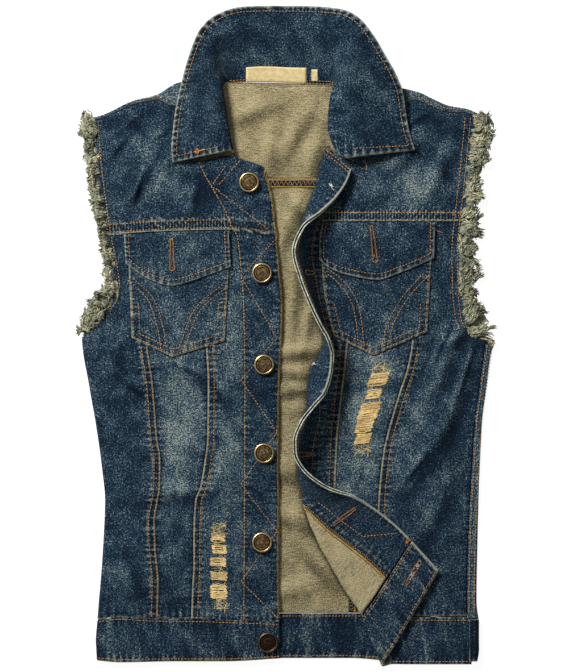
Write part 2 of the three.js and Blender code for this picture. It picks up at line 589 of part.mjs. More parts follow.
// The yoke's inner edge: along the placket's seam below the neck, then along the neckline
const leftYokeInner = through(table(['y', 'x'],
  [445, 32.5], [460, 40.5], [480, 40], [500, 42], [518, 46.5], [528, 43.6], [540, 44], [552, 44.4],
  [567, 46]), 'y', 'x');
add('left_front_yoke', 'faded_denim', panel({
  left: leftYokeInner, right: leftOutline, bottom: leftYokeSeam, top: shoulderSeam,
  cols: 10, rows: 9, gap: 0.25, height: (x, y) => (x < 70 ? leftHeight(x, y) : frontHeight(x, y)),
}));

// Chest pockets with pointed flaps
function pocket(name, { left, right, bottom, top, lift, thickness, colour, rows, cols }) {
  add(name, colour, panel({
    left, right, bottom, top, rows, cols, thickness,
    height: (x, y) => (x < 0 ? frontHeight(x, y) : leftHeight(x, y)) + (CLOTH + thickness) / 2 + lift,
  }));
}
const rightPocketPoint = through(table(['x', 'y'], [-157, 329], [-116.5, 310], [-64, 326]), 'x', 'y');
const leftPocketPoint = through(table(['x', 'y'], [43, 332], [84, 311.5], [138, 335]), 'x', 'y');
const rightFlapEdge = through(table(['x', 'y'],
  [-163, 403], [-155, 397], [-139, 387], [-118, 381], [-100, 385], [-80, 392], [-58, 400]), 'x', 'y');
const leftFlapEdge = through(table(['x', 'y'],
  [30, 407], [40, 399], [60, 391.5], [89, 387], [108, 393], [128, 401], [145, 409]), 'x', 'y');
const FLAP_LIFT = POCKET_GAP + CLOTH + 0.35;
pocket('right_pocket', {
  left: through(table(['y', 'x'], [329, -157], [420, -161]), 'y', 'x'),
  right: through(table(['y', 'x'], [326, -64], [420, -59]), 'y', 'x'),
  bottom: rightPocketPoint, top: () => 424, lift: POCKET_GAP, thickness: CLOTH, colour: 'denim',
  rows: 6, cols: 6,
});
pocket('right_pocket_flap', {
  left: through(table(['y', 'x'], [400, -163], [434, -165]), 'y', 'x'),
  right: through(table(['y', 'x'], [400, -58], [434, -60]), 'y', 'x'),
  bottom: rightFlapEdge, top: (x) => rightYokeSeam(x) - 1, lift: FLAP_LIFT, thickness: FLAP_CLOTH,
  colour: 'dark_denim', rows: 4, cols: 8,
});
pocket('left_pocket', {
  left: through(table(['y', 'x'], [334, 43.8], [352, 39.4], [375, 35], [420, 31.5]), 'y', 'x'),
  right: through(table(['y', 'x'], [335, 138], [420, 143]), 'y', 'x'),
  bottom: leftPocketPoint, top: () => 430, lift: POCKET_GAP, thickness: CLOTH, colour: 'denim',
  rows: 7, cols: 8,
});
pocket('left_pocket_flap', {
  left: through(table(['y', 'x'], [408, 30], [430, 30.5], [446, 34]), 'y', 'x'),
  right: through(table(['y', 'x'], [408, 145], [446, 146]), 'y', 'x'),
  bottom: leftFlapEdge, top: (x) => leftYokeSeam(x) - 1, lift: FLAP_LIFT, thickness: FLAP_CLOTH,
  colour: 'dark_denim', rows: 4, cols: 9,
});

// Collar: ribs run from the neck seam, over the roll, to the outer edge. At the back it lies open.
// crown is how far the roll stands above the line from the crest to the outer edge.
const ribs = table(
  ['neckX', 'neckY', 'neckZ', 'crestX', 'crestY', 'crestZ', 'crown', 'edgeX', 'edgeY', 'edgeZ'],
  [-55, 514.5, 7.2, -57.5, 516, 11, 3.5, -116, 504, 9],
  [-59.5, 530, 4.5, -60.2, 531, 10, 4, -117.3, 518, 8.8],
  [-63, 547, 4.2, -62.8, 548, 10, 4.5, -115.8, 536, 8.8],
  [-65.5, 563, 3.8, -65, 567, 10.5, 4.5, -113.3, 557, 9.5],
  [-67, 575.5, 3.6, -68, 583, 11.5, 4.5, -108.8, 578, 11],
  [-63, 585.2, 2, -71.5, 600, 13, 4, -103.8, 598, 14],
  [-54, 585, 1.3, -73.5, 616, 14.5, 3, -97.6, 617, 17],
  [-45, 585, 1.3, -68, 627, 13.5, 2, -88.6, 637, 17],
  [-35, 585, 1.3, -52, 629, 11.5, 1, -73.5, 651, 14.5],
  [-22, 584.8, 1.3, -31, 628, 9, 0.5, -47.7, 659.5, 11.5],
  [-8, 584.4, 1.3, -10, 626, 7.5, 0.3, -20, 660.7, 9.5],
  [6, 584, 1.3, 6, 625, 7.5, 0.3, 8, 660.7, 9.5],
  [18, 583.6, 1.3, 24, 625, 8.5, 0.5, 35, 659.5, 10.5],
  [28, 583.4, 1.3, 38, 625, 10, 1, 55, 656.5, 13.5],
  [36, 583.2, 1.3, 49, 624, 12.5, 2, 70, 648.2, 17],
  [42, 583, 1.4, 52.5, 612, 14, 3, 83.5, 632, 17.5],
  [46.5, 582, 1.6, 50.5, 599, 13.5, 4, 96, 611, 16.5],
  [46.8, 575, 3, 46, 585, 12, 4.5, 108, 589.5, 13.5],
  [42.2, 563, 3.8, 42.2, 568, 10.5, 4.5, 114, 573, 11],
  [40.6, 550, 4.2, 40.4, 551, 10, 4.5, 116.8, 553, 9.5],
  [40, 538, 4.5, 40.2, 539, 10, 4, 120.5, 534, 9],
  [42, 529.5, 7.2, 42, 529, 11, 3.5, 125.8, 516.5, 9]);
const ribColumns = Object.fromEntries(Object.keys(ribs[0]).map((name) => [name,
  through(ribs.map((rib, i) => ({ place: i / (ribs.length - 1), [name]: rib[name] })), 'place', name)]));
function collarRib(along) {
  const c = Object.fromEntries(Object.entries(ribColumns).map(([name, f]) => [name, f(along)]));
  const neck = point(c.neckX, c.neckY, c.neckZ);
  const crest = point(c.crestX, c.crestY, c.crestZ);
  const edge = point(c.edgeX, c.edgeY, c.edgeZ);
  const crown = crest.clone().lerp(edge, 0.2).add(point(0, 0, c.crown));
  return new THREE.CatmullRomCurve3([neck, crest, crown, edge], false, 'centripetal');
}
// The collar's lower edge dips between its corners: the front end of each leaf is cut to a point.
add('collar', 'collar', (() => {
  const across = [0, 0.1, 0.2, 0.34, 0.55, 0.78, 1];
  const columns = steps(40).map((along) => {
    const rib = collarRib(along);
    return across.map((s) => rib.getPointAt(s));
  });
  const rows = columns[0].map((_, j) => columns.map((column) => column[j]).reverse());
  return wall(rows.reverse(), DOUBLE);
})());

// A patch that lies on the collar's inner face, above the neck seam
function collarPatch(x0, x1, s0, s1, lift, thickness) {
  const alongAt = (x) => {
    let [low, high] = [0.3, 0.75];
    for (let i = 0; i < 30; i += 1) {
      const middle = (low + high) / 2;
      if (ribColumns.neckX(middle) < x) low = middle; else high = middle;
    }
    return low;
  };
  const grid = steps(1).map((v) => steps(4).map((u) => {
    const p = collarRib(alongAt(mix(x0, x1, u))).getPointAt(mix(s0, s1, v));
    return p.add(point(0, 0, DOUBLE / 2 + lift + thickness / 2));
  }));
  return wall(grid, thickness);
}
add('neck_label', 'label', collarPatch(-42, 15, 0.02, 0.2, 0.4, 0.8));
add('size_tab', 'label', collarPatch(20.5, 25.5, 0.03, 0.16, 0.4, 1));

// Shank buttons down the right front
const buttons = table(['x', 'y', 'colour'],
  [-40, 484.5, 'brass'], [-27, 394, 'brass'], [-25, 302.5, 'brass'], [-25, 214, 'brass'], [-27, 125, 'brass'],
  [-21, 25, 'bronze']);
const buttonProfile = table(['radius', 'height'],
  [0, 0], [4, 0], [4, 1.2], [BUTTON_RADIUS, 2], [BUTTON_RADIUS - 0.6, 4.2], [8, 4.4], [7.2, 3.4], [0, 4.4]);
buttons.forEach((button, i) => {
  const seat = button.y < 45 ? BAND_FRONT + DOUBLE / 2 : placketLift(button.x, button.y) + DOUBLE / 2;
  const outline = buttonProfile.map((p) => new THREE.Vector2(p.radius, p.height));
  const geometry = new THREE.LatheGeometry(outline, 14);
  geometry.rotateX(Math.PI / 2);
  const mesh = add(`button_${i + 1}`, button.colour, geometry);
  mesh.position.set(button.x, button.y, seat + 0.35);
});

// Frayed armholes: on each layer a narrow strip lies along the cut edge, and locks of loose ends grow
// out of it. reach is how far they stand out from the edge at each height.
const solidOf = (geometry) => {
  const bare = geometry.clone();
  for (const name of ['normal', 'uv']) if (bare.getAttribute(name)) bare.deleteAttribute(name);
  const merged = mergeVertices(bare, 1e-4);
  return new wasm.Manifold(new wasm.Mesh({
    numProp: 3,
    vertProperties: merged.attributes.position.array,
    triVerts: new Uint32Array(merged.index.array),
  }));
};
function geometryOf(solid) {
  const mesh = solid.getMesh();
  const geometry = new THREE.BufferGeometry();
  geometry.setAttribute('position', new THREE.BufferAttribute(Float32Array.from(mesh.vertProperties), 3));
  geometry.setIndex(new THREE.BufferAttribute(Uint32Array.from(mesh.triVerts), 1));
  return geometry;
}
// A repeatable spread of values from 0 to 1
const scatter = (n) => ((Math.sin(n * 127.1 + 11.7) * 43758.5453) % 1 + 1) % 1;

const fray = {
  right: through(table(['y', 'reach'], [331, 9], [340, 12], [348, 19], [364, 18], [380, 14], [395, 10],
    [411, 7], [442, 7], [458, 9], [489, 11], [505, 10], [520, 13], [536, 15], [548, 14]), 'y', 'reach'),
  left: through(table(['y', 'reach'], [328, 10], [334, 16], [341, 22], [352, 22], [380, 18], [397, 19],
    [419, 15], [434, 19], [458, 12], [478, 16], [497, 14], [512, 18], [526, 20], [539, 23],
    [552, 16]), 'y', 'reach'),
};
function frayedEdge(side, mid, seed) {
  const outline = side < 0 ? rightOutline : leftOutline;
  const reach = side < 0 ? fray.right : fray.left;
  const levels = side < 0
    ? [...ARMHOLE_LEVELS.right.slice(1), 432, 455, 480, 505, 530, 545]
    : [...ARMHOLE_LEVELS.left.slice(2), 445.5, 465, 485, 507, 530, 547];
  const edge = levels.map((y) => new THREE.Vector2(outline(y), y));
  const outwards = (from, to) => new THREE.Vector2(to.y - from.y, from.x - to.x).normalize()
    .multiplyScalar(side);
  const out = edge.map((p, i) => {
    const [before, after] = [edge[Math.max(i - 1, 0)], edge[Math.min(i + 1, edge.length - 1)]];
    return outwards(before, p.equals(before) ? after : p)
      .add(outwards(p.equals(after) ? before : p, after)).normalize();
  });
  if (side * out[0].x < 0) out.forEach((o) => o.negate());
  const strip = edge.map((p, i) => {
    const places = [SEAM_GAP + 0.1, SEAM_GAP + FRAY_STRIP]
      .map((d) => point(p.x + out[i].x * d, p.y + out[i].y * d, mid));
    return side < 0 ? places.reverse() : places;
  });
  // Places along the armhole at even distances
  const run = edge.map((p, i) => (i ? p.distanceTo(edge[i - 1]) : 0));
  const total = run.reduce((a, b) => a + b, 0);
  const at = (share) => {
    let left = share * total;
    let i = 1;
    while (i < edge.length - 1 && left > run[i]) {
      left -= run[i];
      i += 1;
    }
    const between = left / run[i];
    return {
      p: edge[i - 1].clone().lerp(edge[i], between),
      out: out[i - 1].clone().lerp(out[i], between).normalize(),
    };
  };
  const onTop = mid > BACK_MID;
  const pieces = [solidOf(wall(strip, CLOTH))];
  for (let k = 0; k < FRAY_LOCKS; k += 1) {
    const n = seed * 1000 + k * 7;
    const root = at((k + 0.5) / FRAY_LOCKS);
    const way = root.out.clone().rotateAround(new THREE.Vector2(), (scatter(n) - 0.5) * 1.1);
    const start = root.p.clone().addScaledVector(root.out, SEAM_GAP + 1.1);
    const far = reach(root.p.y) * mix(0.8, 1, scatter(n + 1)) - 1.4;
    const lift = onTop ? mix(0.3, 3.4, scatter(n + 2)) : mix(0, 0.7, scatter(n + 2));
    const width = mix(1.7, 2.7, scatter(n + 3));
    const sideways = point(-way.y, way.x, 0);
    const rings = [[0, 1, 0], [0.55, 1.2, 1], [1, 0.4, 0.6]].map(([t, taper, rise]) => {
      const centre = point(start.x + way.x * far * t, start.y + way.y * far * t, mid + lift * rise);
      return [[-1, -0.4], [0, 0.5], [1, -0.4]].map(([a, b]) => centre.clone()
        .addScaledVector(sideways, a * width * taper).add(point(0, 0, b)));
    });
    pieces.push(solidOf(tube(rings)));
  }
  return geometryOf(wasm.Manifold.union(pieces));
}
// A closed tube through rings that all have the same number of points
function tube(rings) {
  const sides = rings[0].length;
  const positions = rings.flat().flatMap((p) => [p.x, p.y, p.z]);
  const index = [];
  for (let j = 0; j < rings.length - 1; j += 1) {
    for (let i = 0; i < sides; i += 1) {
      const [a, b] = [j * sides + i, j * sides + (i + 1) % sides];
      index.push(a, b + sides, b, a, a + sides, b + sides);
    }
  }
  for (let i = 1; i < sides - 1; i += 1) {
    const last = (rings.length - 1) * sides;
    index.push(0, i, i + 1, last, last + i + 1, last + i);
  }
  const geometry = new THREE.BufferGeometry();
  geometry.setAttribute('position', new THREE.Float32BufferAttribute(positions, 3));
  geometry.setIndex(index);
  return geometry;
}
add('right_armhole_fray_front', 'fray', frayedEdge(-1, FRONT_MID, 1));
add('right_armhole_fray_back', 'fray', frayedEdge(-1, BACK_MID, 2));
add('left_armhole_fray_front', 'fray', frayedEdge(1, FRONT_MID, 3));
add('left_armhole_fray_back', 'fray', frayedEdge(1, BACK_MID, 4));

// The origin is the middle of the outline, on the surface that the garment lies on.
const box = new THREE.Box3().setFromObject(vest);
const middle = box.getCenter(new THREE.Vector3());
vest.position.set(-middle.x, -middle.y, -box.min.z);

export default vest;
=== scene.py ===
"""A sleeveless denim jacket lying face up and open, with raw, frayed armholes.

Sizes are millimetres on the garment: x runs across it from its centre back line, y up from the hem
towards the collar, and z up from the surface that it lies on. Left and right are the wearer's.
"""
import math

import bpy
import numpy as np
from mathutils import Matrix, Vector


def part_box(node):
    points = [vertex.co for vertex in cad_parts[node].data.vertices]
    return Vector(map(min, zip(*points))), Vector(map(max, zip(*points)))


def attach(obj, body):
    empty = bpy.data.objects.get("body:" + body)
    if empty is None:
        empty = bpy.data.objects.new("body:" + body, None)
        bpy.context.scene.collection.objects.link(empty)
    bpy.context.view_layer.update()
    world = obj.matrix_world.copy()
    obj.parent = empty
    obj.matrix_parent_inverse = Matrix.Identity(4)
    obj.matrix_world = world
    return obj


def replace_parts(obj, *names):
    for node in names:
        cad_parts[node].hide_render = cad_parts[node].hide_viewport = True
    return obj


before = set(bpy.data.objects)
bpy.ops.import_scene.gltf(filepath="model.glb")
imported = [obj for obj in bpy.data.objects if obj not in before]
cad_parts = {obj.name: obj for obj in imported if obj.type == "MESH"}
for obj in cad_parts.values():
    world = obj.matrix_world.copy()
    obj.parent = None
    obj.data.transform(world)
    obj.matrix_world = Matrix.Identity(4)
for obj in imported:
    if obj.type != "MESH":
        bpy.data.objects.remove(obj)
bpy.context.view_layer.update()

bl_info = {
    "name": "Sleeveless denim jacket",
    "version": (1, 0, 0),
    "blender": (4, 5, 0),
    "location": "View3D > Sidebar > Denim jacket",
    "description": "Builds a sleeveless denim jacket that lies open, with frayed armholes",
    "category": "Add Mesh",
}

MM = 0.001
BODY = "root"

# The first button stands here on the garment, which ties the garment's millimetres to the frame.
FIRST_BUTTON = (-40.0, 484.5)
button_low, button_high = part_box("button_1")
SHIFT = np.array([
    (button_low[0] + button_high[0]) / 2 - FIRST_BUTTON[0] * MM,
    (button_low[1] + button_high[1]) / 2 - FIRST_BUTTON[1] * MM,
    0.0,
])

CLOTH = 1.2              # one ply of denim
DOUBLE = 2.4             # two plies sewn together
BACK_MID = CLOTH / 2     # middle of the back's cloth
FRONT_MID = 3.4          # middle of the front's cloth where it meets a side fold
FRONT_RISE = 1.8         # how much higher the front lies away from its edges
RISE_REACH = 45          # distance over which it rises
FOLD_LIP = 12            # cloth that passes under the right side fold
BAND_WIDTH = 8           # felled seam: a raised band beside the seam's edge
BAND_HEIGHT = 0.8
BAND_ROWS = (1.5, 6.6)   # its two rows of stitches, from the seam's edge
PLACKET_WIDTH = 38
FACING_WIDTH = 46
EDGE_GAP = 0.15          # a piece stops this far from its seam
BAND_BACK = DOUBLE / 2
BAND_FRONT = BAND_BACK + DOUBLE + 1.6
FLAT_RUN = 14            # the turned cloth is flat this far beyond its hinge
FOLD_RADIUS = (FRONT_MID - BACK_MID) / 2
LEFT_WAIST = 51          # heights of the seams that run level
BACK_WAIST = 54
LEFT_YOKE = 445.5
BACK_YOKE = 487
COLLAR_DEPTH = 74        # cloth from the neck seam to the collar's outer edge
TURNED_STEP = (1.0, 2.0)       # steps that find which way a surface faces: mm across and up the cloth,
COLLAR_STEP = (0.004, 0.01)    # and shares along the collar and across it


# Curves and noise

def through(*rows):
    """A smooth curve through (place, value) rows that never overshoots them, level past its ends."""
    k, v = np.array(sorted(rows), float).T
    slope = np.diff(v) / np.diff(k)
    before, after = slope[:-1], slope[1:]
    same_way = before * after > 0
    total = np.where(same_way, before + after, 1)
    tangent = np.concatenate([slope[:1], np.where(same_way, 2 * before * after / total, 0), slope[-1:]])

    def curve(key):
        key = np.clip(np.asarray(key, float), k[0], k[-1])
        i = np.clip(np.searchsorted(k, key, side="left") - 1, 0, len(k) - 2)
        h = k[i + 1] - k[i]
        t = (key - k[i]) / h
        return (v[i] * (1 + 2 * t) * (1 - t) ** 2 + tangent[i] * h * t * (1 - t) ** 2
                + v[i + 1] * t * t * (3 - 2 * t) + tangent[i + 1] * h * t * t * (t - 1))
    return curve


def straight(*rows):
    """Straight lines between (place, value) rows."""
    k, v = np.array(rows, float).T
    return lambda key: np.interp(key, k, v)


def always(value):
    """A curve that is level everywhere."""
    return lambda key: np.full(np.shape(key), float(value))


def smooth(t):
    """Eases from 0 to 1 as t does, level at both ends."""
    t = np.clip(t, 0, 1)
    return t * t * (3 - 2 * t)


def mix(a, b, t):
    """The value a share t of the way from a to b."""
    return a + (b - a) * t


def together(x, y):
    """Two arguments as arrays of one shape."""
    return np.broadcast_arrays(np.asarray(x, float), np.asarray(y, float))


def noise(x, y, seed=0):
    """Smooth random values from -1 to 1 that change over one unit of x and y."""
    x, y = together(x, y)
    ix, iy = np.floor(x), np.floor(y)
    fx, fy = smooth(x - ix), smooth(y - iy)

    def corner(i, j):
        value = np.sin((ix + i) * 12.9898 + (iy + j) * 78.233 + seed * 37.719) * 43758.5453
        return (value - np.floor(value)) * 2 - 1
    return mix(mix(corner(0, 0), corner(1, 0), fx), mix(corner(0, 1), corner(1, 1), fx), fy)


def unit(vectors):
    """Vectors made one long."""
    return vectors / np.maximum(np.linalg.norm(vectors, axis=-1, keepdims=True), 1e-9)


def distances(points):
    """Distance from the start at each point of a line, or of each line in a grid."""
    steps = np.linalg.norm(np.diff(points, axis=-2), axis=-1)
    return np.concatenate([np.zeros(steps.shape[:-1] + (1,)), np.cumsum(steps, axis=-1)], axis=-1)


# The garment's outlines and seams, as x across for a height y, or y for a place x

right_outline = through(
    (5, -192), (27, -193), (46, -192), (62, -190.5), (111, -186.5), (167, -184), (199, -187), (242, -193),
    (282, -200), (329, -207), (334, -205), (349, -195), (362, -183), (377, -177), (397, -179), (432, -186),
    (467, -191), (507, -196), (549, -199))
left_outline = through(
    (5, 188), (19, 190), (48, 190), (70, 187.5), (118, 188.3), (183, 190), (215, 191.5), (245, 193),
    (283, 197.7), (314, 202), (326, 206), (331, 196), (336, 184), (352, 177.7), (383, 175.4), (413, 174.7),
    (444, 177), (477, 181), (507, 184), (554, 188.5))
RIGHT_ARMPIT = 330
LEFT_ARMPIT = 326
left_side_seam = through(
    (45, 178), (70, 178), (134, 179.5), (183, 182), (215, 184), (247, 186), (276, 190), (326, 197))
right_outer_seam = through(
    (46, -131), (86, -130), (118, -132.7), (147, -133.5), (163, -131), (178, -128.6), (207, -128),
    (227, -131), (283, -135.6), (321, -141), (437, -150))
right_inner_seam = through(
    (46, -98), (78, -97), (102, -95.7), (134, -95.7), (167, -94), (179, -89.3), (207, -84.4), (227, -82),
    (283, -81.3), (320, -83), (437, -86))
right_placket_seam = through(
    (46, -46), (283, -45), (360, -46), (390, -48), (432, -53), (438, -57), (455, -64), (479, -77.5),
    (498, -88), (508, -92))
right_front_edge = through(
    (8, -8.5), (46, -10), (100, -11), (150, -10.5), (227, -11), (283, -10), (329, -8), (360, -7),
    (398, -10), (433, -13), (467, -17), (501, -26))
left_inner_seam = through(
    (50, 84), (77, 68), (101, 57), (123, 52), (150, 49), (181, 47), (215, 48.5), (227, 49),
    (268, 53), (299, 57), (321, 59), (446, 64))
left_outer_seam = through(
    (50, 92), (100, 88), (160, 88.7), (183, 90.3), (215, 94), (237, 99), (258, 105), (276, 110.5),
    (299, 118), (325, 122.6), (446, 128))
back_seam = through((9, 58), (54, 60), (300, 70), (487, 84))
right_yoke_seam = through((-186, 432), (-122, 435.6), (-62, 437), (-13, 432))
left_yoke_seam = always(LEFT_YOKE)
right_waist_seam = through((-192, 48), (-169, 51), (-137, 49), (-96, 48.5), (-10, 45.3))
left_waist_seam = always(LEFT_WAIST)
back_waist_seam = always(BACK_WAIST)
back_yoke_seam = always(BACK_YOKE)
right_hem = through((-193, 7), (-169, 5), (-112, 6), (-64, 6), (-8, 9))
back_hem = through((-193, 7), (-60, 9), (60, 9), (120, 5), (191, 6))
back_top = through(
    (-199, 549), (-188, 551.5), (-155, 566.5), (-133, 572), (-110, 584.5), (-90, 587), (-72, 583.5),
    (-60, 583), (40, 581.5), (52, 581.5), (70, 584), (90, 583), (114, 578.5), (129, 575), (144, 568),
    (159, 561.5), (178, 558), (190, 553))
shoulder_lip = through(
    (-199, 3), (-155, 4), (-133, 5), (-118, 20), (-100, 28), (-85, 22), (-79, 12), (-76, 0),
    (54, 0), (58, 12), (80, 20), (100, 18), (118, 13), (130, 8.5), (147, 8), (178, 4), (190, 3))
right_neck_drop = through((-84, 0), (-74, 8), (-64, 11))
left_neck_drop = through((40, 12), (52, 9), (66, 0))
right_neckline = through((508, -92), (515, -64), (531, -63.5), (550, -66.5), (566, -69), (574, -70.5))
right_placket_top = through((-92, 505), (-78, 508), (-62, 511.5), (-44, 507), (-26, 501))
left_yoke_inner = through(
    (445, 32.5), (460, 40.5), (480, 40), (500, 42), (518, 46.5), (528, 43.6), (540, 44), (552, 44.4),
    (567, 46))


def shoulder_seam(x):
    """Where the front yokes end, below the back's cloth that comes over the shoulder."""
    drop = np.where(np.asarray(x) < 0, right_neck_drop(x), left_neck_drop(x))
    return back_top(x) - np.maximum(shoulder_lip(x), 3) - 0.7 - drop


def left_armhole_front(y):
    """The left front's outer edge: its side seam, and above that the armhole."""
    near = np.minimum(left_outline(y), left_side_seam(y) - (y - LEFT_ARMPIT) * 1.3)
    return np.where(y < LEFT_ARMPIT, left_side_seam(y), np.where(y > 340, left_outline(y), near))


# Creases of the front: centre, direction in degrees from x, half its length, half its width, height.
# A negative height is a trough.
CREASES = (
    (-176, 312, -8, 38, 13, 2.4), (-160, 288, -38, 34, 12, 2.0), (-172, 262, -58, 26, 12, 1.4),
    (-118, 290, 14, 30, 14, 1.0), (-60, 272, -52, 34, 13, 2.0), (-70, 180, 24, 34, 15, 1.8),
    (-150, 176, 4, 34, 14, 1.6), (-160, 96, 62, 40, 15, 1.8), (-112, 108, 74, 30, 14, 1.2),
    (-150, 476, 58, 26, 12, 1.8), (-164, 540, -42, 24, 12, 1.8), (-120, 520, 66, 34, 14, 1.4),
    (-60, 100, -20, 26, 13, 1.4), (188, 306, 62, 34, 12, 2.2), (168, 272, 58, 52, 14, 2.4),
    (150, 232, 40, 38, 14, 1.6), (140, 190, 52, 46, 15, 1.8), (100, 262, 18, 28, 14, 1.0),
    (160, 128, 74, 44, 16, 1.4), (118, 516, 40, 32, 13, 1.8), (150, 486, 64, 34, 14, 1.4),
    (86, 470, 30, 26, 13, 1.4), (170, 540, -22, 18, 12, 1.4))


def crease_height(x, y, rows):
    """Sum of the heights of rounded ridges, given as in CREASES."""
    total = 0
    for cx, cy, turn, length, width, height in rows:
        c, s = math.cos(math.radians(turn)), math.sin(math.radians(turn))
        along = ((x - cx) * c + (y - cy) * s) / length
        across = ((y - cy) * c - (x - cx) * s) / width
        total = total + height * np.exp(-along ** 2 - across ** 2)
    return total


# The left front's free edge stands up and falls back on the front. Each row gives the height y where
# the cloth lies flat, the hinge where it leaves the flat, the fold's and the free edge's places.
TURNED = np.array([
    (520, 47, 39.3, 521, 8, 63, 499, 12),
    (500, 43, 32.3, 503, 8.5, 58, 485.5, 13),
    (480, 40, 27.3, 483, 9, 48, 470, 15),
    (460, 38, 20.5, 462, 12, 32, 454, 23),
    (440, 31, 13, 439, 15, 13.5, 439, 34),
    (415, 28, 12, 415, 17, 4.5, 415, 37),
    (390, 29, 18, 390, 17, 10.5, 390, 38),
    (365, 32, 24.5, 365, 17, 20.5, 364, 39),
    (342, 36, 31, 342, 18, 31, 342, 38),
    (328, 41, 35.5, 328, 16.5, 39, 328, 37),
    (312, 48, 31.5, 312, 11, 43.5, 312, 31),
    (295, 47, 22, 296, 10.5, 42.5, 297, 29),
    (276, 44, 19.5, 276, 11, 36, 275, 30),
    (262, 41, 18.5, 262, 13, 25, 262, 34),
    (245, 38, 17, 246, 16, 12.5, 246, 36),
    (227, 35, 13, 227, 16, 5.5, 227, 36),
    (213, 35, 9.5, 213, 14.5, 6, 214, 34),
    (197, 37, 9.5, 197, 12, 16.5, 196, 32),
    (177, 39, 13.5, 177, 10.5, 41, 179, 27),
    (152, 40, 18.5, 152, 9.5, 64, 171.5, 20),
    (123, 46, 30.5, 123, 9, 78, 164, 15),
    (101, 54, 42.5, 101, 8.7, 91, 155, 12.5),
    (77, 66, 56.5, 77, 8.5, 106, 143, 11),
    (51, 82, 73.5, 51, 8.7, 122, 127, 10.5),
    (27, 92, 83.5, 26, 8.7, 136, 112, 10),
    (3, 102, 93.5, 1.5, 8.7, 149.5, 97, 9.8)])
turned_columns = [through(*zip(TURNED[:, 0], TURNED[:, i])) for i in range(1, 8)]
hinge_x = turned_columns[0]


def front_height(x, y):
    """Height of the middle of the front's cloth where it lies flat."""
    on_right = np.asarray(x) < 0
    outline = np.where(on_right, x - right_outline(y), left_outline(y) - x)
    free = np.where(on_right, right_front_edge(y) - x, x - hinge_x(y))
    shoulder = back_top(x) - y
    inner = smooth(outline / RISE_REACH) * smooth((free + 10) / RISE_REACH)
    inner = inner * smooth((shoulder + 5) / RISE_REACH)
    waist = smooth((75 - y) / 24)
    rise = FRONT_RISE + crease_height(x, y, CREASES)
    return FRONT_MID + inner * rise * (1 - 0.7 * waist) + 1.3 * waist


CURVE_STEPS = 60         # between two knots of a smooth curve


def curve_points(knots, count):
    """Points on smooth curves through knots, by equal distances along each; the last two axes of
    knots are the knot's number and its x, y, z. Gives the points and each curve's length."""
    ends = [2 * knots[..., :1, :] - knots[..., 1:2, :], knots, 2 * knots[..., -1:, :] - knots[..., -2:-1, :]]
    p = np.concatenate(ends, axis=-2)
    gap = np.maximum(np.sum(np.diff(p, axis=-2) ** 2, axis=-1), 1e-12)[..., None] ** 0.25
    t = np.linspace(0, 1, CURVE_STEPS, endpoint=False)[:, None]
    parts = []
    for i in range(knots.shape[-2] - 1):
        p0, p1, p2, p3 = (p[..., i + k, None, :] for k in range(4))
        g0, g1, g2 = (gap[..., i + k, None, :] for k in range(3))
        m1 = ((p1 - p0) / g0 - (p2 - p0) / (g0 + g1) + (p2 - p1) / g1) * g1
        m2 = ((p2 - p1) / g1 - (p3 - p1) / (g1 + g2) + (p3 - p2) / g2) * g1
        parts.append(p1 + m1 * t + (3 * (p2 - p1) - 2 * m1 - m2) * t ** 2
                     + (2 * (p1 - p2) + m1 + m2) * t ** 3)
    fine = np.concatenate(parts + [knots[..., -1:, :]], axis=-2)
    run = distances(fine)
    flat_fine, flat_run = fine.reshape(-1, *fine.shape[-2:]), run.reshape(-1, run.shape[-1])
    out = np.empty((len(flat_fine), count, 3))
    for k, (points, distance) in enumerate(zip(flat_fine, flat_run)):
        want = np.linspace(0, distance[-1], count)
        out[k] = np.stack([np.interp(want, distance, points[:, axis]) for axis in range(3)], axis=-1)
    return out.reshape(*fine.shape[:-2], count, 3), run[..., -1]


def bilinear(grid, row, col):
    """Values of a grid between its rows and columns."""
    row = np.clip(row, 0, grid.shape[0] - 1.0001)
    col = np.clip(col, 0, grid.shape[1] - 1.0001)
    j, i = np.floor(row).astype(int), np.floor(col).astype(int)
    fj, fi = row - j, col - i
    if grid.ndim == 3:
        fj, fi = fj[..., None], fi[..., None]
    return mix(mix(grid[j, i], grid[j, i + 1], fi), mix(grid[j + 1, i], grid[j + 1, i + 1], fi), fj)


PATH_POINTS = 300
PATH_STEP = 1.0          # mm of height between the rows of the turned cloth's table
PATH_TOP = 526
path_levels = np.arange(0, PATH_TOP, PATH_STEP)


def turned_table():
    """The turned cloth's middle, from its free edge over the fold to the flat, at each height."""
    hx, fx, fy, fz, ex, ey, ez = (column(path_levels) for column in turned_columns)
    flat_x = hx + FLAT_RUN
    edge = np.stack([ex, ey, ez], -1)
    fold = np.stack([fx, fy, fz], -1)
    crown = mix(fold, edge, 0.25) + np.array([0, 0, 1.4])
    hinge = np.stack([hx, path_levels, front_height(hx, path_levels)], -1)
    flat = np.stack([flat_x, path_levels, front_height(flat_x, path_levels)], -1)
    points, lengths = curve_points(np.stack([edge, crown, fold, hinge, flat], 1), PATH_POINTS)
    return points, lengths, flat_x


path_points, path_lengths, path_flat_x = turned_table()


def path_length(y):
    """Length of the turned cloth's table at a height."""
    return np.interp(y, path_levels, path_lengths)


def flat_start(y):
    """The place x where that table ends and the cloth lies flat."""
    return np.interp(y, path_levels, path_flat_x)


def along_to(y, x):
    """Distance along the turned cloth to a place x on the flat."""
    return path_length(y) + x - flat_start(y)


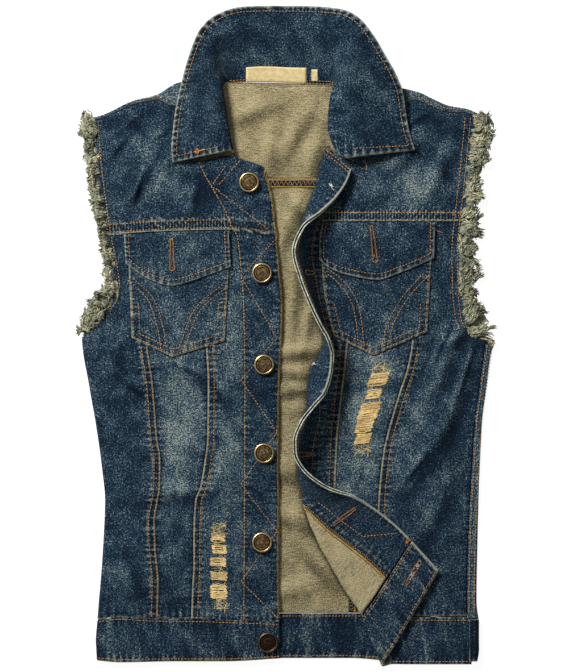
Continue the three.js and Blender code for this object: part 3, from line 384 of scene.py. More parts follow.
def turned_at(d, y):
    """A point of the turned cloth's middle, d from its free edge."""
    d, y = together(d, y)
    length = path_length(y)
    row = (y - path_levels[0]) / PATH_STEP
    on_path = bilinear(path_points, row, np.clip(d / length, 0, 1) * (PATH_POINTS - 1))
    x = flat_start(y) + d - length
    beyond = np.stack([x, y, front_height(x, y)], -1)
    return np.where((d > length)[..., None], beyond, on_path)


HALVINGS = 24            # of the distance in which a place is looked for


def left_height(x, y):
    """Height of the left front's cloth over a place on its flat or on the rise beside it."""
    x, y = together(x, y)
    low, high = path_length(y) * 0.45, path_length(y)
    for _ in range(HALVINGS):
        middle = (low + high) / 2
        before = turned_at(middle, y)[..., 0] < x
        low, high = np.where(before, middle, low), np.where(before, high, middle)
    return np.where(x >= flat_start(y), front_height(x, y), turned_at(low, y)[..., 2])


# The collar's ribs run from the neck seam, over the roll, to the outer edge. Each row gives the
# places of the seam and of the roll, how high the cloth rises beyond the roll, and the edge's place.
RIBS = np.array([
    (-55, 514.5, 7.2, -57.5, 516, 11, 3.5, -116, 504, 9),
    (-59.5, 530, 4.5, -60.2, 531, 10, 4, -117.3, 518, 8.8),
    (-63, 547, 4.2, -62.8, 548, 10, 4.5, -115.8, 536, 8.8),
    (-65.5, 563, 3.8, -65, 567, 10.5, 4.5, -113.3, 557, 9.5),
    (-67, 575.5, 3.6, -68, 583, 11.5, 4.5, -108.8, 578, 11),
    (-63, 585.2, 2, -71.5, 600, 13, 4, -103.8, 598, 14),
    (-54, 585, 1.3, -73.5, 616, 14.5, 3, -97.6, 617, 17),
    (-45, 585, 1.3, -68, 627, 13.5, 2, -88.6, 637, 17),
    (-35, 585, 1.3, -52, 629, 11.5, 1, -73.5, 651, 14.5),
    (-22, 584.8, 1.3, -31, 628, 9, 0.5, -47.7, 659.5, 11.5),
    (-8, 584.4, 1.3, -10, 626, 7.5, 0.3, -20, 660.7, 9.5),
    (6, 584, 1.3, 6, 625, 7.5, 0.3, 8, 660.7, 9.5),
    (18, 583.6, 1.3, 24, 625, 8.5, 0.5, 35, 659.5, 10.5),
    (28, 583.4, 1.3, 38, 625, 10, 1, 55, 656.5, 13.5),
    (36, 583.2, 1.3, 49, 624, 12.5, 2, 70, 648.2, 17),
    (42, 583, 1.4, 52.5, 612, 14, 3, 83.5, 632, 17.5),
    (46.5, 582, 1.6, 50.5, 599, 13.5, 4, 96, 611, 16.5),
    (46.8, 575, 3, 46, 585, 12, 4.5, 108, 589.5, 13.5),
    (42.2, 563, 3.8, 42.2, 568, 10.5, 4.5, 114, 573, 11),
    (40.6, 550, 4.2, 40.4, 551, 10, 4.5, 116.8, 553, 9.5),
    (40, 538, 4.5, 40.2, 539, 10, 4, 120.5, 534, 9),
    (44, 518, 10, 56, 508.5, 14, 3, 125.8, 516.5, 9)])
RIB_POINTS = 160
RIB_STEPS = 600
collar_steps = np.linspace(0, 1, RIB_STEPS + 1)


def collar_table():
    """The collar's middle: a row for each place along it, and each rib's length."""
    place = np.linspace(0, 1, len(RIBS))
    column = [through(*zip(place, RIBS[:, i]))(collar_steps) for i in range(RIBS.shape[1])]
    neck, crest, edge = (np.stack(column[i:i + 3], -1) for i in (0, 3, 7))
    level = 0 * collar_steps
    crown = mix(crest, edge, 0.2) + np.stack([level, level, column[6]], -1)
    return curve_points(np.stack([neck, crest, crown, edge], 1), RIB_POINTS)


collar_points, collar_lengths = collar_table()


def collar_at(along, share):
    """A point of the collar's middle: along from one front end to the other, share across from the neck."""
    along, share = together(along, share)
    return bilinear(collar_points, along * RIB_STEPS, share * (RIB_POINTS - 1))


collar_run = distances(collar_at(collar_steps, 0.75))


def normals_of(surface, u, v, step_u, step_v):
    """Which way a surface faces at (u, v), from points a small step to either side."""
    across = surface(u + step_u, v) - surface(u - step_u, v)
    up = surface(u, v + step_v) - surface(u, v - step_v)
    return unit(np.cross(across, up))


# Meshes

def metres(points):
    """Points in the garment's millimetres as metres in the frame."""
    return np.asarray(points) * MM + SHIFT


def add_piece(name, mesh, materials):
    """Puts a mesh in the scene as a piece, in place of an older one of its name."""
    old = bpy.data.objects.get(name)
    if old is not None:
        bpy.data.objects.remove(old)
    piece = bpy.data.objects.new(name, mesh)
    bpy.context.scene.collection.objects.link(piece)
    for material in materials:
        piece.data.materials.append(material)
    return piece


def finish_piece(piece, slot, *nodes):
    """Says what a finished piece rides on and which solids it stands for; slot is not used."""
    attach(piece, BODY)
    if nodes:
        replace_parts(piece, *nodes)
    return piece


def quad_mesh(name, points, quads, slots):
    """A smooth mesh of four-sided faces, each with its material's number."""
    mesh = bpy.data.meshes.new(name)
    mesh.vertices.add(len(points))
    mesh.vertices.foreach_set("co", metres(points).astype(np.float32).ravel())
    mesh.loops.add(quads.size)
    mesh.loops.foreach_set("vertex_index", quads.astype(np.int32).ravel())
    mesh.polygons.add(len(quads))
    mesh.polygons.foreach_set("loop_start", np.arange(0, quads.size, 4, dtype=np.int32))
    mesh.polygons.foreach_set("material_index", slots.astype(np.int32))
    mesh.update(calc_edges=True)
    mesh.polygons.foreach_set("use_smooth", np.ones(len(quads), bool))
    return mesh


def set_field(mesh, name, values):
    """Stores a value, or a vector, for each point of a mesh."""
    values = np.asarray(values, np.float32)
    kind = "FLOAT_VECTOR" if values.ndim == 2 else "FLOAT"
    layer = mesh.attributes.new(name, kind, "POINT")
    layer.data.foreach_set("vector" if values.ndim == 2 else "value", values.ravel())


def shell(name, over, under, weave, materials, fade_and_shade, worn=0.0, **fields):
    """Closed cloth between two grids of points. over is the side that the grid faces, and materials
    are for it, for the side under it and for the cut edges. weave is each point's place on the cloth."""
    rows, cols = over.shape[:2]
    points = np.concatenate([over.reshape(-1, 3), under.reshape(-1, 3)])
    n = rows * cols
    at = np.arange(n).reshape(rows, cols)

    def face(a, b, c, d):
        return np.stack([a, b, c, d], -1).reshape(-1, 4)
    top = face(at[:-1, :-1], at[:-1, 1:], at[1:, 1:], at[1:, :-1])
    bottom = top[:, ::-1] + n
    rims = np.concatenate([
        face(at[0, :-1] + n, at[0, 1:] + n, at[0, 1:], at[0, :-1]),
        face(at[-1, 1:] + n, at[-1, :-1] + n, at[-1, :-1], at[-1, 1:]),
        face(at[1:, 0] + n, at[:-1, 0] + n, at[:-1, 0], at[1:, 0]),
        face(at[:-1, -1] + n, at[1:, -1] + n, at[1:, -1], at[:-1, -1])])
    slots = np.repeat([0, 1, 2], (len(top), len(bottom), len(rims)))
    mesh = quad_mesh(name, points, np.concatenate([top, bottom, rims]), slots)
    # fade_and_shade: the cloth's tone, with the painted light and shade that seams, folds and fades put in
    # it.
    for key, values in {"fade_and_shade": fade_and_shade, "worn": worn, **fields}.items():
        values = np.broadcast_to(values, (rows, cols)).ravel()
        set_field(mesh, key, np.concatenate([values, values]))
    place = np.concatenate([weave * MM, np.zeros(weave.shape[:2] + (1,))], -1).reshape(-1, 3)
    set_field(mesh, "weave", np.concatenate([place, place]))
    return add_piece(name, mesh, materials)


def cut_size(weave):
    """Width, length and area in metres of the flat cut that a grid of places on the cloth covers."""
    x, y = weave[..., 0] * MM, weave[..., 1] * MM
    dx1, dy1 = x[1:, 1:] - x[:-1, :-1], y[1:, 1:] - y[:-1, :-1]
    dx2, dy2 = x[1:, :-1] - x[:-1, 1:], y[1:, :-1] - y[:-1, 1:]
    area = np.sum(np.abs(dx1 * dy2 - dx2 * dy1)) / 2
    return float(np.ptp(x)), float(np.ptp(y)), float(area)


LEAST_SHARE = 0.3        # of its rectangle, the least area that a sheet is said to have


def declare_sheet(weave):
    """Works out the width, length and area of a piece's flat cut from its places on the cloth; nothing
    further is done with them.
    """
    width, length, area = cut_size(weave)
    area = min(max(area, LEAST_SHARE * width * length), width * length)


def spread(low, high, span, step):
    """Where the lines of a grid lie across a span: at fixed distances low and high from its two ends
    and evenly between them. Gives shares (a, b, used): a place is a + b * (span - used)."""
    low, high = np.array(low, float), np.array(high, float)
    count = max(1, int(round((span - low[-1] - high[-1]) / step)))
    t = np.linspace(0, 1, count + 1)[1:-1]
    a = np.concatenate([low, np.full(len(t), low[-1]), low[-1] + high[-1] - high[::-1]])
    b = np.concatenate([np.zeros(len(low)), t, np.ones(len(high))])
    return a, b, low[-1] + high[-1]


PLAIN = (EDGE_GAP, 1.4, 3.2)
BAND = (EDGE_GAP, 0.9, 1.5, 2.4, 4.2, 5.8, 6.6, 7.4, 8.4, 9.6, 11.2)
WIDE_BAND = (EDGE_GAP, 0.9, 1.8, 2.8, 4.6, 6.6, 8.4, 9.4, 10.4, 11.6, 13.2)


def panel_grid(left, right, bottom, top, step, edges):
    """A grid of (x, y) between four edges. edges gives the marks at the left, right, bottom and top."""
    start_y = (bottom(0.0) + top(0.0)) / 2
    span_x = max(float(np.max(right(y) - left(y))) for y in np.linspace(bottom(0.0), top(0.0), 9))
    middle_x = (left(start_y) + right(start_y)) / 2
    span_y = float(top(middle_x) - bottom(middle_x))
    ax, bx, used_x = spread(edges[0], edges[1], span_x, step)
    ay, by, used_y = spread(edges[2], edges[3], span_y, step)
    x = np.full((len(ay), len(ax)), float(middle_x))
    for _ in range(10):
        low = bottom(x)
        y = low + ay[:, None] + by[:, None] * (top(x) - low - used_y)
        start = left(y)
        x = start + ax + bx * (right(y) - start - used_x)
    return x, y


# What sewing does to the cloth

def pucker(run, seed, pitch=6.5):
    """The uneven ripple along a row of stitches, from -1 to 1."""
    phase = run / pitch + 0.9 * noise(run / 17, seed * 3.1, seed)
    return np.sin(2 * np.pi * phase) * (0.62 + 0.38 * noise(run / 11, 5.5, seed + 1))


def band(into, run, seed, width=BAND_WIDTH, rows=BAND_ROWS, ripple=0.55, pitch=5.6):
    """Relief, wear and tone beside a felled seam. into is the distance from the seam's edge into its raised
    band, and negative on the panel beyond that edge. The tone is paler on the pucker crests with wear, and it
    holds painted shade in the pucker troughs and stitch grooves and a painted shadow beyond the band's edge."""
    inside = into > -0.01
    flat = smooth((width + 1.4 - into) / 1.8)
    wave = pucker(run, seed, pitch)
    reach = np.exp(-(np.maximum(into - width, 0) / 5) ** 2) * np.exp(-(np.minimum(into, 0) / 5) ** 2)
    groove = sum(np.exp(-((into - r) / 0.85) ** 2) for r in rows)
    relief = np.where(inside, BAND_HEIGHT * flat - 0.25 * groove, -0.25 * np.exp(np.minimum(into, 0) / 2.5))
    relief = relief + ripple * wave * reach
    edge = np.where(inside, np.exp(-(into / 1.7) ** 4) * (0.85 + 0.25 * noise(run / 5, 2.2, seed)), 0)
    far = np.where(inside, np.exp(-((into - width) / 1.2) ** 2) * (0.3 + 0.3 * noise(run / 6, 4.1, seed)), 0)
    worn = edge + far + np.maximum(wave, 0) * reach * np.where(inside, 0.6, 0.16)
    # Pucker crests paler with wear; painted shade in the pucker troughs and in the stitch grooves.
    fade_and_shade = np.where(inside, -0.16 * flat, 0) + 0.4 * wave * reach - 0.2 * groove * inside
    # Painted shadow of the raised band on the panel just beyond its edge.
    fade_and_shade = fade_and_shade - np.where(inside, 0, 0.45 * np.exp(np.minimum(into, 0) / 1.5))
    return np.stack([relief, worn, fade_and_shade])


def hem_edge(into, run, seed, row=2.0, ripple=0.5):
    """Relief, wear and tone beside a turned edge with one row of stitches. The tone is paler on the pucker
    crests with wear and holds painted shade in their troughs and in the stitch groove.
    """
    wave = pucker(run, seed, 6.0)
    reach = np.exp(-(into / 9) ** 2)
    groove = np.exp(-((into - row) / 0.9) ** 2)
    relief = ripple * wave * reach - 0.22 * groove - 0.5 * np.exp(-(into / 0.7) ** 2)
    rough = 0.75 + 0.3 * noise(run / 4, 1.1, seed)
    worn = np.exp(-(into / 1.6) ** 2) * rough + 0.6 * np.maximum(wave, 0) * reach
    # Third row, the tone: worn pucker crests, with painted shade in the troughs and the groove.
    return np.stack([relief, worn, 0.42 * wave * reach - 0.16 * groove])


# Fades of the fronts, paler where the amount is positive; the darker ones are mostly painted shade, beside
# seams, in folds and under the collar. Columns: centre, direction in degrees, half length, half width, and
# how much paler.
FADES_AND_SHADE = (
    (-112, 90, 84, 60, 22, -0.08), (-149, 525, 0, 24, 22, 0.12), (138, 485, 0, 28, 24, 0.05),
    (90, 265, 80, 50, 18, -0.05), (-70, 250, 84, 70, 12, -0.04), (-159, 548, 20, 22, 9, -0.12),
    (-154, 540, -45, 10, 5, -0.2), (-84, 480, 74, 26, 9, -0.24), (-100, 545, 60, 26, 12, -0.1),
    (-155, 478, 72, 12, 4, -0.16), (-143, 470, 60, 20, 10, 0.12), (150, 545, -15, 30, 10, -0.2),
    (165, 500, 80, 40, 7, -0.14), (108, 520, -60, 16, 8, -0.14), (118, 470, 30, 30, 16, 0.1),
    (60, 470, -50, 20, 8, -0.16), (160, 420, 90, 60, 10, -0.08), (-109, 267, 84, 66, 20, 0.24),
    (-112, 205, 80, 56, 18, 0.16), (-64, 262, 88, 80, 16, 0.16), (-118, 505, 70, 44, 20, 0.17),
    (-72, 464, -50, 26, 15, -0.16), (-125, 450, 0, 50, 8, -0.1), (-180, 500, 90, 50, 9, -0.07),
    (-28, 272, 0, 24, 12, -0.16), (-28, 215, 0, 24, 16, 0.12), (-28, 340, 0, 20, 14, 0.06),
    (-28, 120, 0, 20, 14, 0.08), (-28, 165, 0, 24, 12, -0.1), (-66, 330, 0, 14, 14, 0.1),
    (-60, 200, 90, 60, 14, 0.06), (-140, 60, 0, 60, 12, -0.06), (-160, 300, 84, 80, 24, -0.06),
    (-150, 150, 84, 110, 26, -0.05), (125, 484, 20, 34, 18, 0.24), (150, 520, 60, 40, 24, 0.03),
    (80, 262, 78, 84, 20, 0.24), (112, 232, 60, 40, 14, 0.14), (140, 300, 50, 40, 16, 0.06),
    (150, 150, 84, 90, 26, 0.03), (90, 400, 0, 40, 20, -0.06), (-108, 400, 0, 40, 20, 0.1),
    (-108, 345, 0, 36, 18, 0.1))


# Sharp folds: a ridge with a hollow on its lower right side. Columns as in CREASES.
FOLDS = (
    (-155, 543, -46, 11, 2.6, 1.9), (-152, 478, 72, 12, 2.4, 1.6), (-143, 500, 60, 20, 4, 1.3),
    (-172, 520, 50, 16, 3.4, 1.3), (-96, 470, 80, 20, 4, 1.3), (106, 528, -30, 20, 3.6, 1.3),
    (126, 548, 30, 18, 3.2, 1.3), (70, 474, -52, 20, 3.6, 1.2), (-170, 300, -60, 9, 2.2, 1.1),
    (-150, 276, -30, 17, 2.4, 1.6), (-142, 300, 8, 22, 3, 1.2), (-100, 298, -24, 16, 2.6, 1.3),
    (-74, 274, -62, 18, 2.8, 1.4), (-128, 534, 40, 10, 2.4, 1.0), (152, 324, 66, 20, 2.6, 1.5),
    (176, 296, 72, 26, 2.8, 1.5), (122, 196, 52, 24, 3, 1.3), (-162, 286, -34, 24, 4.5, 1.7),
    (-172, 312, 75, 13, 3.5, 0.9), (-88, 290, -36, 32, 7, 2.0), (-64, 246, -58, 20, 5, 1.5),
    (-162, 95, -64, 32, 7, 1.7), (-112, 176, 6, 40, 8, 1.4), (-154, 476, 58, 17, 4.5, 1.6),
    (-160, 546, 44, 18, 5, 1.3), (-130, 540, 70, 26, 7, 1.2), (-108, 500, -30, 24, 7, 1.0),
    (-150, 216, -20, 24, 6, 1.0), (156, 307, 67, 54, 8, 1.7), (163, 260, 70, 54, 8, 1.5),
    (131, 207, 56, 38, 8, 1.9), (146, 160, 64, 40, 9, 1.6), (168, 330, 40, 18, 5, 1.3),
    (118, 516, 44, 26, 7, 1.4), (150, 496, 66, 26, 7, 1.3), (92, 476, 28, 20, 6, 1.1),
    (120, 110, 76, 36, 8, 1.1), (170, 540, -30, 14, 5, 1.1), (110, 290, 20, 22, 6, 1.0),
    (-70, 140, -40, 24, 6, 1.0), (-110, 70, 10, 30, 6, 0.9))


HOLLOW_OFFSET = 1.25     # times the fold's half width


def hollow_beside(fold):
    """The hollow of a sharp fold, a little way down to the right of its ridge."""
    cx, cy, turn, _, width, _ = fold
    angle = math.radians(turn)
    right, down = (HOLLOW_OFFSET * width * abs(way(angle)) for way in (math.sin, math.cos))
    return (cx + right, cy - down, *fold[2:])


HOLLOWS = [hollow_beside(fold) for fold in FOLDS]


def fold_parts(x, y):
    """Height of the sharp folds' ridges and of their hollows."""
    return crease_height(x, y, FOLDS), crease_height(x, y, HOLLOWS)


def front_wrinkles(x, y):
    """Small unevenness of the laid cloth, finer than its creases."""
    ridges, hollows = fold_parts(x, y)
    broad = noise(x / 34, y / 34, 11) * 0.42
    slanted = noise((x + 0.7 * y) / 21, (y - 0.7 * x) / 52, 12) * 0.3
    fine = noise(x / 9, y / 13, 13) * 0.12
    return broad + slanted + fine + ridges - 0.75 * hollows


def fade_and_shade_at(x, y, base):
    """The fronts' tone: a panel's own tone, its fades and painted shade from the table, a paler tone on the
    sharp folds' ridges, partly worn and partly a painted highlight, painted shade in their hollows, and a
    fine mottle.
    """
    mottle = 0.13 * noise(x / 14, y / 14, 21) + 0.11 * noise(x / 6, y / 7, 22)
    mottle = mottle + 0.08 * noise(x / 3, y / 9, 23)
    ridges, hollows = fold_parts(x, y)
    # Fold ridges paler, partly wear and partly painted highlight; painted shade in their hollows.
    return base + crease_height(x, y, FADES_AND_SHADE) + mottle + 0.1 * ridges - 0.2 * hollows


# Materials

def linear(red, green, blue):
    """A colour as Blender's shaders take it, from its sRGB values of 0 to 255."""
    return [c / 12.92 if c <= 0.04045 else ((c + 0.055) / 1.055) ** 2.4
            for c in (red / 255, green / 255, blue / 255)] + [1.0]


class Nodes:
    """Short ways to add and join the nodes of a material."""

    def __init__(self, name):
        self.material = bpy.data.materials.get(name) or bpy.data.materials.new(name)
        self.material.use_nodes = True
        self.tree = self.material.node_tree
        self.tree.nodes.clear()
        output = self.tree.nodes.new("ShaderNodeOutputMaterial")
        self.shader = self.tree.nodes.new("ShaderNodeBsdfPrincipled")
        self.tree.links.new(self.shader.outputs["BSDF"], output.inputs["Surface"])

    def put(self, socket, value):
        if isinstance(value, bpy.types.NodeSocket):
            self.tree.links.new(value, socket)
        else:
            socket.default_value = value

    def add(self, kind, settings=None, **inputs):
        node = self.tree.nodes.new(kind)
        for key, value in (settings or {}).items():
            setattr(node, key, value)
        for key, value in inputs.items():
            self.put(node.inputs[key.replace("_", " ")], value)
        return node

    def field(self, name, vector=False):
        node = self.add("ShaderNodeAttribute", {"attribute_name": name})
        return node.outputs["Vector" if vector else "Fac"]

    def place(self):
        return self.add("ShaderNodeTexCoord").outputs["Object"]

    def scaled(self, vector, scale, turn=0.0):
        node = self.add("ShaderNodeMapping", Vector=vector, Scale=scale)
        node.inputs["Rotation"].default_value = (0, 0, turn)
        return node.outputs["Vector"]

    def noise(self, vector, scale, detail=2.0, rough=0.5):
        node = self.add("ShaderNodeTexNoise", Vector=vector, Scale=scale, Detail=detail, Roughness=rough)
        return node.outputs["Fac"]

    def math(self, operation, first, second, clamp=False):
        node = self.add("ShaderNodeMath", {"operation": operation, "use_clamp": clamp})
        for socket, value in zip(node.inputs, (first, second)):
            self.put(socket, value)
        return node.outputs["Value"]

    def total(self, first, *others):
        """The sum of two values or more."""
        for other in others:
            first = self.math("ADD", first, other)
        return first

    def centred(self, value, amount):
        """A value that lies about 0.5, made to lie about 0 and scaled."""
        return self.math("MULTIPLY", self.math("SUBTRACT", value, 0.5), amount)

    def ramp(self, value, stops):
        node = self.add("ShaderNodeValToRGB", Fac=value)
        ramp = node.color_ramp
        while len(ramp.elements) < len(stops):
            ramp.elements.new(0.5)
        for element, (position, colour) in zip(ramp.elements, stops):
            element.position = position
            element.color = colour
        return node.outputs["Color"]

    def blend(self, first, second, amount):
        node = self.add("ShaderNodeMix", {"data_type": "RGBA"})
        self.put(node.inputs[0], amount)
        self.put(node.inputs[6], first)
        self.put(node.inputs[7], second)
        return node.outputs[2]

    def bump(self, height, distance, strength=1.0, under=None):
        node = self.add("ShaderNodeBump", Height=height, Distance=distance, Strength=strength)
        if under is not None:
            self.put(node.inputs["Normal"], under)
        return node.outputs["Normal"]

    def finish(self, colour, normal=None, **constants):
        self.put(self.shader.inputs["Base Color"], colour)
        if normal is not None:
            self.put(self.shader.inputs["Normal"], normal)
        for key, value in constants.items():
            self.put(self.shader.inputs[key.replace("_", " ")], value)
        return self.material


def settings():
    """The sizes and colours in the sidebar."""
    return bpy.context.scene.denim_jacket


WAVE_PERIOD = 0.314      # of a wave texture at a scale of 1
RIB_PITCH = 0.003        # across the gathered ribs beside the yoke seams


def twill(nodes, weave):
    """Height of the diagonal ribs of a twill and of its uneven yarns."""
    ribs = nodes.add("ShaderNodeTexWave", {"wave_type": "BANDS", "bands_direction": "X"},
                     Vector=nodes.scaled(weave, (1, 1, 1), math.radians(52)),
                     Scale=WAVE_PERIOD / settings().twill_pitch, Distortion=0.6, Detail=1.0)
    slubs = nodes.noise(nodes.scaled(weave, (1500, 170, 1)), 1.0, 2.0)
    return nodes.total(nodes.math("MULTIPLY", ribs.outputs["Fac"], 0.55), nodes.math("MULTIPLY", slubs, 0.9))


def indigo_denim():
    """Indigo face of the twill: fade_and_shade, its tone with painted shade in it, takes it from dark to
    pale, worn rubs it down to the weft.
    """
    look = settings()
    nodes = Nodes("Indigo denim")
    weave = nodes.field("weave", vector=True)
    speckle = nodes.noise(weave, 760, 1.0, 0.6)
    grain = nodes.noise(weave, 380, 2.0, 0.6)
    slub = nodes.noise(nodes.scaled(weave, (800, 130, 1)), 1.0, 2.0)
    cloud = nodes.noise(weave, 62, 3.0, 0.55)
    ribs = nodes.add("ShaderNodeTexWave", {"wave_type": "BANDS", "bands_direction": "X"}, Vector=weave,
                     Scale=WAVE_PERIOD / RIB_PITCH, Distortion=1.6, Detail=1.0, Detail_Scale=90.0)
    ribs = nodes.math("MULTIPLY", nodes.centred(ribs.outputs["Fac"], 1.0), nodes.field("ribs"))
    tone = nodes.total(
        nodes.field("fade_and_shade"), nodes.centred(speckle, look.speckle * 4.6),
        nodes.centred(grain, look.speckle * 2.1), nodes.centred(slub, look.speckle * 1.4),
        nodes.centred(cloud, 0.3), nodes.math("MULTIPLY", ribs, 0.6))
    colour = nodes.ramp(tone, [
        (0.0, [*look.deep_indigo, 1]), (0.28, [*look.dark_indigo, 1]), (0.52, [*look.mid_indigo, 1]),
        (0.78, [*look.pale_indigo, 1]), (1.0, [*look.bleached, 1])])
    rub = nodes.total(nodes.field("worn"), nodes.centred(grain, 1.1), nodes.math("MULTIPLY", ribs, 0.5))
    rub = nodes.math("MULTIPLY", nodes.math("SUBTRACT", rub, 0.22), 1.15, clamp=True)
    colour = nodes.blend(colour, [*look.rubbed, 1], nodes.math("MULTIPLY", rub, 0.85))
    normal = nodes.bump(twill(nodes, weave), 0.00025, 0.7)
    normal = nodes.bump(grain, 0.0005, 0.6, normal)
    return nodes.finish(colour, normal, Roughness=0.9, Sheen_Weight=0.02, Specular_IOR_Level=0.1)


def khaki_wrong_side(name="Khaki wrong side", lift=0.0):
    """Wrong side of the twill: undyed weft with flecks of the indigo warp. lift raises the whole tone, for
    the copy in painted light.
    """
    look = settings()
    nodes = Nodes(name)
    weave = nodes.field("weave", vector=True)
    fleck = nodes.noise(weave, 1000, 1.0, 0.6)
    grain = nodes.noise(weave, 420, 2.0, 0.6)
    slub = nodes.noise(nodes.scaled(weave, (130, 900, 1)), 1.0, 2.0)
    cloud = nodes.noise(weave, 30, 3.0, 0.55)
    tone = nodes.total(nodes.field("fade_and_shade"), nodes.centred(fleck, 1.7), nodes.centred(grain, 0.7),
                       nodes.centred(slub, 1.0), nodes.centred(cloud, 0.6), lift)
    colour = nodes.ramp(tone, [
        (0.0, linear(60, 58, 46)), (0.3, [*look.khaki_shade, 1]), (0.55, [*look.khaki, 1]),
        (1.0, [*look.khaki_light, 1])])
    normal = nodes.bump(twill(nodes, weave), 0.00025, 0.7)
    normal = nodes.bump(grain, 0.0004, 0.5, normal)
    return nodes.finish(colour, normal, Roughness=0.92, Sheen_Weight=0.08, Specular_IOR_Level=0.2)


def raw_edge():
    """Cut or turned edge of the cloth, rubbed down to pale weft."""
    nodes = Nodes("Rubbed edge")
    weave = nodes.place()
    tone = nodes.total(nodes.noise(weave, 600, 2.0), nodes.centred(nodes.noise(weave, 150, 2.0), 0.8))
    colour = nodes.ramp(tone, [
        (0.25, linear(112, 124, 122)), (0.5, linear(176, 182, 166)), (0.8, linear(238, 238, 218))])
    return nodes.finish(colour, nodes.bump(tone, 0.0004, 0.6), Roughness=0.92, Specular_IOR_Level=0.2)


def cotton(name, dark, light, scale=700.0):
    """Sewing thread or loose yarn, twisted from fine fibres."""
    nodes = Nodes(name)
    place = nodes.place()
    tone = nodes.total(nodes.noise(place, scale, 2.0), nodes.centred(nodes.noise(place, 90, 2.0), 0.9))
    colour = nodes.ramp(tone, [(0.25, linear(*dark)), (0.75, linear(*light))])
    return nodes.finish(colour, nodes.bump(tone, 0.0002, 0.5), Roughness=0.8, Sheen_Weight=0.1,
                        Specular_IOR_Level=0.3)


def metal(name, dark, light, rough):
    """Antique metal: dark where it is recessed, bright where hands have rubbed it."""
    nodes = Nodes(name)
    place = nodes.place()
    stain = nodes.noise(place, 420, 3.0)
    tone = nodes.math("ADD", nodes.field("worn"), nodes.centred(stain, 0.9), clamp=True)
    middle = [0.5 * d + 0.4 * b for d, b in zip(dark, light)]
    colour = nodes.ramp(tone, [(0.1, linear(*dark)), (0.5, linear(*middle)), (0.95, linear(*light))])
    shine = nodes.math("ADD", nodes.centred(stain, 0.25), rough)
    return nodes.finish(colour, nodes.bump(stain, 0.0002, 0.35), Metallic=1.0, Roughness=shine)


def woven_tape():
    """Satin-woven tape of the neck label and the size tab."""
    nodes = Nodes("Woven tape")
    place = nodes.place()
    yarns = nodes.noise(nodes.scaled(place, (200, 2200, 1)), 1.0, 1.0)
    tone = nodes.total(nodes.noise(place, 260, 3.0), nodes.centred(yarns, 0.4))
    colour = nodes.ramp(tone, [(0.2, linear(206, 182, 122)), (0.8, linear(240, 218, 164))])
    return nodes.finish(colour, nodes.bump(yarns, 0.0001, 0.6), Roughness=0.6, Sheen_Weight=0.1)


MATERIAL_MAKERS = {
    "denim": indigo_denim,
    "khaki": khaki_wrong_side,
    # Painted light: a brighter copy of the wrong side for the turned centre panel's underside, drawn as if
    # lit more.
    "lit khaki": lambda: khaki_wrong_side("Khaki wrong side in the light", 0.24),
    "edge": raw_edge,
    "copper thread": lambda: cotton("Copper thread", (142, 100, 52), (222, 170, 104)),
    "orange thread": lambda: cotton("Orange buttonhole thread", (176, 106, 40), (240, 168, 80)),
    "gold thread": lambda: cotton("Gold overlock thread", (206, 148, 58), (255, 214, 120)),
    "white thread": lambda: cotton("White thread", (150, 152, 150), (226, 226, 220)),
    "fringe": lambda: cotton("Loose armhole yarn", (60, 66, 54), (184, 184, 152), 420.0),
    "gold yarn": lambda: cotton("Bare gold weft", (190, 156, 94), (252, 224, 160), 600.0),
    "brass": lambda: metal("Antique brass", (62, 36, 16), (236, 210, 154), 0.34),
    "bronze": lambda: metal("Dark bronze", (26, 20, 18), (112, 84, 62), 0.38),
    "tape": woven_tape,
}
made = {}


def material(name):
    """One of the materials, made when it is first asked for."""
    if name not in made:
        made[name] = MATERIAL_MAKERS[name]()
    return made[name]


def cloth_sides(over="denim", under="khaki"):
    """Materials of cloth: its two sides and its cut edges."""
    return [material(over), material(under), material("edge")]


# Threads and yarns, by geometry nodes

class Tree:
    """Short ways to build a geometry node tree with named inputs."""

    def __init__(self, name):
        self.tree = bpy.data.node_groups.new(name, "GeometryNodeTree")
        self.tree.interface.new_socket("Geometry", in_out="OUTPUT", socket_type="NodeSocketGeometry")
        self.tree.interface.new_socket("Geometry", in_out="INPUT", socket_type="NodeSocketGeometry")
        self.source = self.tree.nodes.new("NodeGroupInput")
        self.sink = self.tree.nodes.new("NodeGroupOutput")

    def input(self, name, kind, value=None):
        socket = self.tree.interface.new_socket(name, in_out="INPUT", socket_type="NodeSocket" + kind)
        if value is not None:
            socket.default_value = value

    def add(self, kind, settings=None, links=None):
        node = self.tree.nodes.new(kind)
        for key, value in (settings or {}).items():
            setattr(node, key, value)
        for key, value in (links or {}).items():
            socket = node.inputs[key]
            if isinstance(value, bpy.types.NodeSocket):
                self.tree.links.new(value, socket)
            else:
                socket.default_value = value
        return node

    def attribute(self, name, kind):
        node = self.add("GeometryNodeInputNamedAttribute", {"data_type": kind}, {"Name": name})
        return node.outputs["Attribute"]

    def end(self, geometry):
        real = self.add("GeometryNodeRealizeInstances", links={"Geometry": geometry})
        look = self.add("GeometryNodeSetMaterial",
                        links={"Geometry": real.outputs[0], "Material": self.source.outputs["Material"]})
        self.tree.links.new(look.outputs[0], self.sink.inputs[0])
        return self.tree


